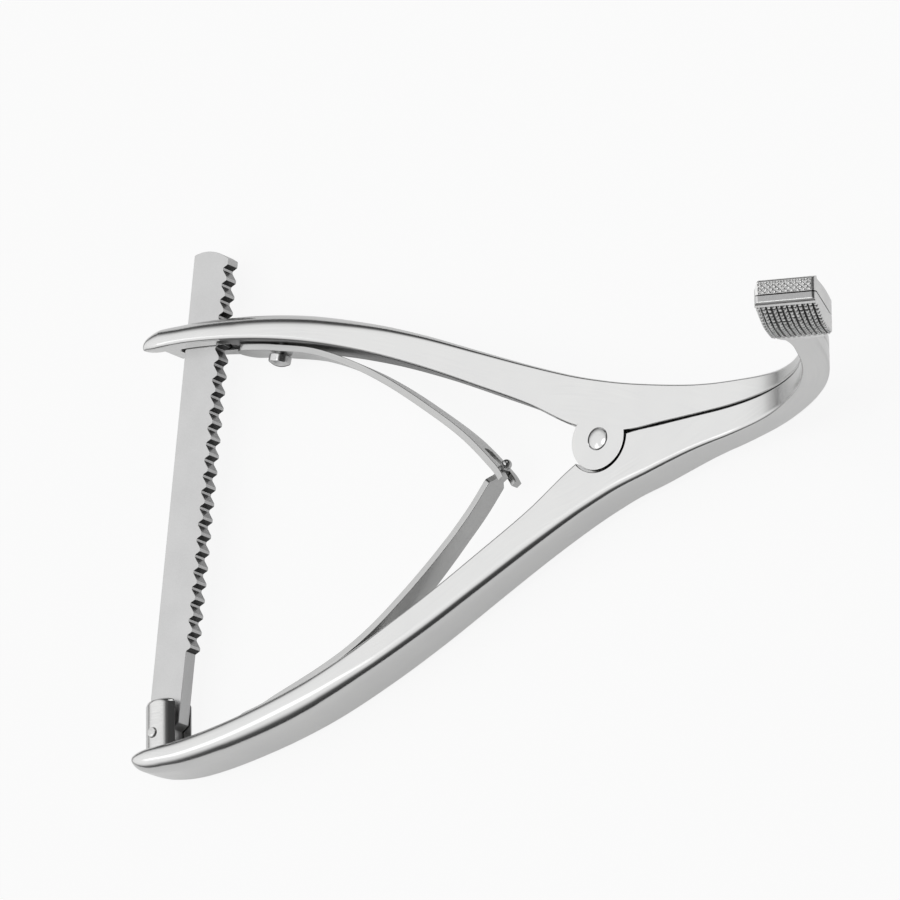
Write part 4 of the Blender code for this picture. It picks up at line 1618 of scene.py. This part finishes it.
    def skin(self) -> bmesh.types.BMesh:
        """Handle, joint block and bent stem in one skin."""
        sign = self.side.value
        tip = PLAN.tip_x - (PLAN.lower_extra if self.side is Side.LOWER else 0.0)
        rings = []
        start = tip + self.nose
        turns = [math.pi / 2.0 * i / self.nose_steps for i in range(self.nose_steps)]
        xs = [tip + self.nose * (1.0 - math.cos(angle)) for angle in turns]
        xs += [start + (PLAN.jaw_x - start) * i / self.straight_steps for i in range(self.straight_steps + 1)]
        if self.side is Side.UPPER:
            xs = sorted(xs + [self.step_x - self.step_half, self.step_x + self.step_half])
        for x in xs:
            end = quarter((x - tip) / PLAN.nose_round)
            y_in = PLAN.at(x, 1)
            y_out = PLAN.at(x, 2)
            r_out = PLAN.at(x, 3)
            grip = smooth_step((self.grip_x - x) / self.grip_long)
            if self.side is Side.UPPER:
                y_out -= PLAN.upper_slim * clamp((self.slim_x - x) / self.slim_long)
                y_out = y_in + (y_out - y_in) * (self.thin_nose[0] + self.thin_nose[1] * end)
                y_in += self.upper_lift * (1.0 - end)
                low = self.thin_end(x, tip)
                low += self.thin_slope * max(x - self.step_x, 0.0)
                r_near = min(r_out, low - self.thin_rest)
                tail = 0.0
            else:
                y_out = y_in + (y_out - y_in) * (self.wide_nose[0] + self.wide_nose[1] * end)
                y_in += self.lower_lift * (1.0 - quarter((x - tip) / self.lower_lift_long))
                r_out = max(r_out, self.lower_round - self.round_loss * max(x - self.round_x, 0.0))
                y_out += self.lower_proud * smooth_step((x - self.proud_x) / self.proud_long)
                r_near = r_out * (self.near_nose[0] + self.near_nose[1] * end)
                tail = 1.0 - smooth_step((x - tip) / self.tail_long)
            near = PLAN.near_z(x) - PLAN.nose_drop * (1.0 - end)
            back = PLAN.near_z(x) - self.thickness(x, tip)
            fade = smooth_step((x - self.split_x) / self.split_long)
            r_in = PLAN.inner_round
            crown = tuple(
                r_in + (edge - r_in) * fade + more * grip
                for edge, more in zip(self.split_edge, self.grip_crown)
            )
            if self.side is Side.UPPER:
                r_out += self.soft_top * smooth_step((self.soft_x - x) / self.soft_long)
            r_back = min(r_out, PLAN.back_round)
            corner = (r_back + self.tail_wide * tail, r_back + (self.tail_deep - r_back) * tail)
            span = (min(back, near - 1.0), near)
            back_edge = self.back_edge - 0.2 * fade
            ring = self.section((y_in, y_out), span, back_edge, crown, (r_out, r_near), corner)
            rings.append([(x, sign * y, z) for y, z in ring])
        y_in, y_start, r_out = (PLAN.at(PLAN.jaw_x, k) for k in (1, 2, 3))
        if self.side is Side.LOWER:
            y_start += self.lower_proud
        ends = [PLAN.jaw_arc * i / self.jaw_steps for i in range(1, self.jaw_steps + 1)]
        ends += [PLAN.jaw_arc + PLAN.stem_long * i / self.stem_steps for i in range(1, self.stem_steps + 1)]
        root = PLAN.jaw_arc + PLAN.stem_long - self.pad.lap
        for along in ends:
            t = min(along / (PLAN.jaw_arc * 0.8), 1.0)
            y_out = self.jaw_side(along, y_start)
            deep = PLAN.depth(PLAN.jaw_x - PLAN.thin_x + along)
            crown = self.split_edge
            if self.side is Side.UPPER:
                crown = (crown[0], crown[1] - 0.9 * smooth_step(t * 2.0))
            before, run = self.flare_run
            flare = self.flare * clamp((along - root + before) / run) ** self.flare_power
            before, run = self.spread_run
            wide = self.spread * clamp((along - root + before) / run) ** self.spread_power
            placed = []
            low_round = self.jaw_round[0] - self.jaw_round[1] * smooth_step(t)
            rounded = (r_out, r_out) if self.side is Side.UPPER else (low_round, low_round)
            ring = self.section((y_in, y_out), (-wide, deep + flare), 0.3, crown, rounded, rounded)
            for y, v in ring:
                x, z = PLAN.jaw_point(along, deep - v)
                placed.append((x, sign * y, z))
            rings.append(placed)
        return loft(rings)

    def _joint(self, arm: Workpiece) -> None:
        """Add the disc, flush with the faces, and cut the recess and the pin's holes."""
        edge = self.joint_edge
        r = PLAN.disc_radius
        foot, head = PLAN.joint_z, PLAN.top
        profile = [(0.0, foot), (r - edge, foot), (r, foot + edge)]
        profile += [(r, head - edge), (r - edge * 0.3, head - edge * 0.3), (r - edge, head), (0.0, head)]
        arm.combine(Workpiece("disc", turned(profile, ORIGIN, ALONG_Z, 96)), Combine.JOIN)
        reach = r + PLAN.disc_gap
        if self.side is Side.UPPER:
            low, high = -1.0, PLAN.lap_z + PLAN.half_gap
            mouth, out = PLAN.joint_z, -1.0
        else:
            low, high = PLAN.lap_z - PLAN.half_gap, PLAN.top + 4.0
            mouth, out = PLAN.top, 1.0
        profile = [(0.0, high), (reach + edge, high)] if out > 0 else [(0.0, low), (reach + edge, low)]
        profile += [(reach + edge, mouth + 0.001 * out), (reach, mouth - edge * out)]
        profile += [(reach, low), (0.0, low)] if out > 0 else [(reach, high), (0.0, high)]
        arm.combine(Workpiece("recess", turned(profile, ORIGIN, ALONG_Z, 128)), Combine.CUT)
        bore = rod(PLAN.pin_radius + PLAN.pin_play, -2.0, PLAN.top + 2.0, ORIGIN, ALONG_Z, 64)
        arm.combine(Workpiece("bore", bore), Combine.CUT)
        if self.side is Side.UPPER:
            seat = PLAN.pin_head_radius + 0.15
            low = PLAN.top - PLAN.pin_head_deep
            profile = [(0.0, low), (seat, low), (seat, PLAN.top - 0.12), (seat + 0.12, PLAN.top)]
            profile += [(seat + 0.2, PLAN.top + 1.0), (0.0, PLAN.top + 1.0)]
            arm.combine(Workpiece("head_seat", turned(profile, ORIGIN, ALONG_Z, 96)), Combine.CUT)

    def _slot(self, arm: Workpiece) -> None:
        """Cut the bar's slot through the handle."""
        x0, x1 = self.slot_x()
        half = self.bar.thick / 2.0 + self.slot_side
        slot = block((x0, 40.0, self.bar.z - half), (x1, 60.0, self.bar.z + half), None, self.slot_round)
        arm.combine(Workpiece("slot", slot), Combine.CUT)

    def _post_seat(self, arm: Workpiece) -> None:
        """Sink the post's seat into the lower handle."""
        x = self.bar.hinge[0] + self.bar.post_shift
        top = -PLAN.at(x, 1) - self.bar.post_seat - self.seat_play
        r = self.bar.post_radius + self.seat_play
        stud = self.bar.post_stud + self.stud_play
        profile = [(0.0, -2.6), (stud, -2.6), (stud, 0.0), (r, 0.0), (r, 8.0), (0.0, 8.0)]
        seat = turned(profile, (x, top, self.bar.z), ALONG_Y, 80)
        arm.combine(Workpiece("post_seat", seat), Combine.CUT)

    def build(
        self, finish: bpy.types.Material, teeth: bpy.types.Material, cuts: bpy.types.Material, slot: str
    ) -> bpy.types.Object:
        """Forge, machine and dress the arm.

        Args:
            finish: Material of the arm.
            teeth: Material of the serrations.
            cuts: Material of the cuts between them, with painted shade.
            slot: Name of its material slot.

        Returns:
            The arm; its pad rides with it as a piece of its own.
        """
        arm = Workpiece(f"{self.side.word}_forging", self.skin())
        self._joint(arm)
        leaf = LeafSpring(self.side)
        seat, out = leaf.screw_seat()
        hole = rod(leaf.shank + leaf.hole_play, -4.6, 1.0, tuple(seat), tuple(out), 48)
        arm.combine(Workpiece("screw_hole", hole), Combine.CUT)
        if self.side is Side.UPPER:
            self._slot(arm)
        else:
            self._post_seat(arm)
        arm.clean()
        pad = self.pad.solid()
        slab = pad.finish(teeth, self.side.body, slot, (), 30.0)
        # Painted shade on the faces deep in the cuts between the teeth.
        dress_faces(slab, cuts, self.pad.in_cut)
        if self.side is Side.LOWER:
            # Painted shade on the lower pad's blunt end.
            dress_faces(slab, PAD_END_PAINTED_SHADE.build(), lambda middle, normal: self.pad.on_end(middle, normal))
        if self.side is Side.UPPER:
            hatch = Workpiece("upper_pad_hatching", self.pad.tip_hatching())
            hatch.finish(teeth, self.side.body, slot, (), 25.0)
        obj = arm.finish(finish, self.side.body, slot, (f"{self.side.word}_arm",))
        if self.side is Side.UPPER:
            # Painted shade on the upper handle's inner side beside the leaf and on a face in the bar's slot.
            dress_faces(obj, INNER_SIDE_PAINTED_SHADE.build(), self.beside_leaf)
        return obj

    def beside_leaf(self, middle: Vector, normal: Vector) -> bool:
        """Whether a face lies on the handle's inner side, beside the leaf or in the bar's slot, where shade
        is painted.
        """
        y = self.side.value * middle.y
        inner = self.side.value * normal.y < -0.75 and y < PLAN.at(middle.x, 1) + 0.5
        x0, x1 = self.slot_x()
        in_slot = abs(middle.x - x1) < 0.9 and abs(middle.z - self.bar.z) < 2.6 and abs(normal.x) > 0.5
        return (inner and x0 + self.leaf_clear < middle.x < self.leaf_end_x) or in_slot


@dataclass
class PivotRivet:
    """Rivet of the lap joint: low domed head in front, flat head on the back."""

    radius: float = 2.0
    head: float = 2.5
    head_deep: float = 1.3
    crown: float = 0.55
    tail: float = 3.3
    tail_edge: float = 0.4

    def build(self, finish: bpy.types.Material, slot: str) -> bpy.types.Object:
        """Turn the rivet.

        Args:
            finish: Its material.
            slot: Name of its material slot.

        Returns:
            The rivet.
        """
        head_seat = PLAN.top - self.head_deep + 0.15
        tail_seat = PLAN.joint_z - 0.15
        profile = [(0.0, 0.0), (self.tail - self.tail_edge, 0.0), (self.tail - 0.1, 0.12)]
        profile += [(self.tail, self.tail_edge), (self.tail, tail_seat), (self.radius, tail_seat)]
        profile += [(self.radius, head_seat), (self.head, head_seat), (self.head, PLAN.top - 0.12)]
        profile += [(self.head - 0.04, PLAN.top)]
        profile += dome(self.head - 0.14, self.crown - 0.07, PLAN.top + 0.07, 12)
        rivet = Workpiece("rivet", turned(profile, ORIGIN, ALONG_Z, 96))
        return rivet.finish(finish, "lower_body", slot, ("pivot_pin",), 50.0)


# The studio


@dataclass(frozen=True)
class PhotoCamera:
    """Camera fitted to the photograph's view of the pivot and the two planes of the arms."""

    tilt: float = 40.38
    swing: float = 22.52
    roll: float = 29.25
    focal_px: float = 9196.0
    pivot_px: Flat = (597.5, 438.7)
    px_per_mm: float = 4.35
    frame_px: float = 900.0
    sensor_mm: float = 36.0

    def build(self) -> bpy.types.Object:
        """Place the camera.

        Returns:
            The camera object, set as the scene's camera.
        """
        c, s = math.cos(math.radians(self.tilt)), math.sin(math.radians(self.tilt))
        cp, sp = math.cos(math.radians(self.swing)), math.sin(math.radians(self.swing))
        cr, sr = math.cos(math.radians(self.roll)), math.sin(math.radians(self.roll))
        one = Vector((c * cp, c * sp, -s))
        two = Vector((sp, -cp, 0.0))
        axis_x = one * cr + two * sr
        axis_y = two * cr - one * sr
        axis_z = one.cross(two)
        half = self.frame_px / 2.0
        offset = Vector((self.pivot_px[0] - half, self.pivot_px[1] - half, self.focal_px))
        pivot = Vector((0.0, 0.0, PLAN.top))
        away = Vector((offset.dot(axis_x), offset.dot(axis_y), offset.dot(axis_z))) / self.px_per_mm
        right = Vector((axis_x[0], axis_y[0], axis_z[0]))
        up = -Vector((axis_x[1], axis_y[1], axis_z[1]))
        back = -Vector((axis_x[2], axis_y[2], axis_z[2]))
        data = bpy.data.cameras.new("photo_camera")
        data.sensor_width = self.sensor_mm
        data.lens = self.focal_px / self.frame_px * self.sensor_mm
        data.clip_start = 0.05
        data.clip_end = 20.0
        camera = bpy.data.objects.new("photo_camera", data)
        turn = Matrix((right, up, back)).transposed().to_4x4()
        camera.matrix_world = Matrix.Translation((pivot - away) * MM) @ turn
        bpy.context.scene.collection.objects.link(camera)
        bpy.context.scene.camera = camera
        return camera


@dataclass(frozen=True)
class Softbox:
    """Rectangular lamp aimed at the middle of the part."""

    name: str
    place: Point
    size: Flat
    power: float

    def build(self) -> bpy.types.Object:
        """Hang the lamp.

        Returns:
            The lamp.
        """
        data = bpy.data.lights.new(self.name, "AREA")
        data.shape = "RECTANGLE"
        data.size, data.size_y = self.size
        data.energy = self.power
        lamp = bpy.data.objects.new(self.name, data)
        lamp.location = self.place
        target = Vector((-0.03, 0.0, 0.01))
        lamp.rotation_euler = (target - Vector(self.place)).to_track_quat("-Z", "Y").to_euler()
        bpy.context.scene.collection.objects.link(lamp)
        return lamp


@dataclass
class Studio:
    """Pale floor, soft room light and lamps."""

    floor_size: float = 6.0
    floor_z: float = -0.0002
    floor_colour: str = "#F2F2F2"
    # How white the camera sees the paper. What is left of it takes the shadow.
    camera_white: float = 0.9
    # How much of that white the metal reflects.
    gloss_white: float = 0.3
    bright_way: Point = (-0.6, 0.0, 0.9)
    room_stops: tuple[Flat, ...] = ((0.3, 0.05), (0.56, 0.1), (0.69, 0.52), (0.82, 0.92), (1.0, 1.0))
    room_strength: float = 1.1
    lamps: tuple[Softbox, ...] = (
        Softbox("grip_highlight_softbox", (-0.68, -0.26, 0.95), (0.4, 0.4), 0.28),
        Softbox("overhead_softbox", (0.1, -0.1, 1.2), (0.5, 0.5), 1.2),
        Softbox("side_softbox", (0.7, 0.9, 0.7), (0.5, 0.5), 1.0),
    )

    def floor(self) -> bpy.types.Object:
        """Lay the floor.

        Returns:
            The floor, marked as stage.
        """
        shape = bmesh.new()
        bmesh.ops.create_grid(shape, x_segments=1, y_segments=1, size=self.floor_size)
        mesh = bpy.data.meshes.new("studio_floor")
        shape.to_mesh(mesh)
        shape.free()
        floor = bpy.data.objects.new("studio_floor", mesh)
        floor.location.z = self.floor_z
        bpy.context.scene.collection.objects.link(floor)
        mat = bpy.data.materials.new("pale_studio_paper")
        mat.use_nodes = True
        tree = mat.node_tree
        tree.nodes.clear()
        path = add_node(tree, "ShaderNodeLightPath")
        glossy = add_node(
            tree,
            "ShaderNodeMath",
            {"operation": "MAXIMUM"},
            {0: path.outputs["Is Glossy Ray"], 1: path.outputs["Is Transmission Ray"]},
        )
        seen = add_node(
            tree,
            "ShaderNodeMath",
            {"operation": "MULTIPLY"},
            {0: glossy.outputs["Value"], 1: self.gloss_white},
        )
        share = add_node(
            tree,
            "ShaderNodeMath",
            {"operation": "MULTIPLY_ADD", "use_clamp": True},
            {0: path.outputs["Is Camera Ray"], 1: self.camera_white, 2: seen.outputs["Value"]},
        )
        paper = add_node(
            tree,
            "ShaderNodeBsdfDiffuse",
            inputs={"Color": linear(self.floor_colour)},
        )
        white = add_node(
            tree,
            "ShaderNodeEmission",
            inputs={"Color": (1.0, 1.0, 1.0, 1.0), "Strength": 1.0},
        )
        mix = add_node(
            tree,
            "ShaderNodeMixShader",
            inputs={"Fac": share.outputs["Value"], 1: paper.outputs["BSDF"], 2: white.outputs["Emission"]},
        )
        add_node(tree, "ShaderNodeOutputMaterial", inputs={"Surface": mix.outputs["Shader"]})
        mesh.materials.append(mat)
        return floor

    def room(self) -> bpy.types.World:
        """Light the room: bright above, dark along the walls.

        Returns:
            The world.
        """
        world = bpy.data.worlds.new("studio_room")
        bpy.context.scene.world = world
        world.use_nodes = True
        tree = world.node_tree
        tree.nodes.clear()
        place = add_node(tree, "ShaderNodeTexCoord")
        height = add_node(
            tree,
            "ShaderNodeVectorMath",
            {"operation": "DOT_PRODUCT"},
            {0: place.outputs["Generated"], 1: self.bright_way},
        )
        ramp = add_node(tree, "ShaderNodeValToRGB", inputs={"Fac": height.outputs["Value"]})
        ramp.color_ramp.interpolation = "EASE"
        elements = ramp.color_ramp.elements
        while len(elements) < len(self.room_stops):
            elements.new(0.5)
        for element, (position, value) in zip(elements, self.room_stops):
            element.position = position
            element.color = (value, value, value, 1.0)
        sky = add_node(
            tree,
            "ShaderNodeBackground",
            inputs={"Color": ramp.outputs["Color"], "Strength": self.room_strength},
        )
        add_node(tree, "ShaderNodeOutputWorld", inputs={"Surface": sky.outputs["Background"]})
        return world

    def build(self) -> None:
        """Set up floor, room, lamps and view."""
        self.floor()
        self.room()
        for lamp in self.lamps:
            lamp.build()
        bpy.context.scene.view_settings.view_transform = "Standard"


def clear_startup() -> None:
    """Remove what Blender's startup file may have put in the scene."""
    for name in ("Cube", "Light", "Camera"):
        obj = bpy.data.objects.get(name)
        if obj is not None:
            bpy.data.objects.remove(obj, do_unlink=True)


def main() -> None:
    """Build the scene, piece by piece."""
    logging.basicConfig(level=logging.INFO, format="%(name)s: %(message)s")
    clear_startup()
    PhotoCamera().build()
    Studio().build()
    satin = SATIN_FORGING.build()
    teeth = MILLED_TEETH.build()
    spring = BRUSHED_SPRING.build()
    screw = TURNED_SCREW.build()
    bar = RatchetBar()
    cuts = GROOVE_PAINTED_SHADE.build()
    ForgedArm(Side.LOWER, bar).build(satin, teeth, cuts, "satin_forged_steel")
    ForgedArm(Side.UPPER, bar).build(satin, teeth, cuts, "satin_forged_steel_upper")
    PivotRivet().build(POLISHED_RIVET.build(), "polished_pin_steel")
    bar.build_bar(BEADED_BAR.build(), "matt_bar_steel")
    bar.build_post(TURNED_POST.build(), "polished_post_steel")
    bar.build_pin(GROUND_PIN.build(), "cross_pin_steel")
    for side, tail in ((Side.UPPER, ""), (Side.LOWER, "_lower")):
        leaf = LeafSpring(side)
        leaf.build(spring, f"spring_steel{tail}")
        LeafScrew(leaf).build(screw, f"screw_steel{tail}")


if __name__ == "__main__":
    main()
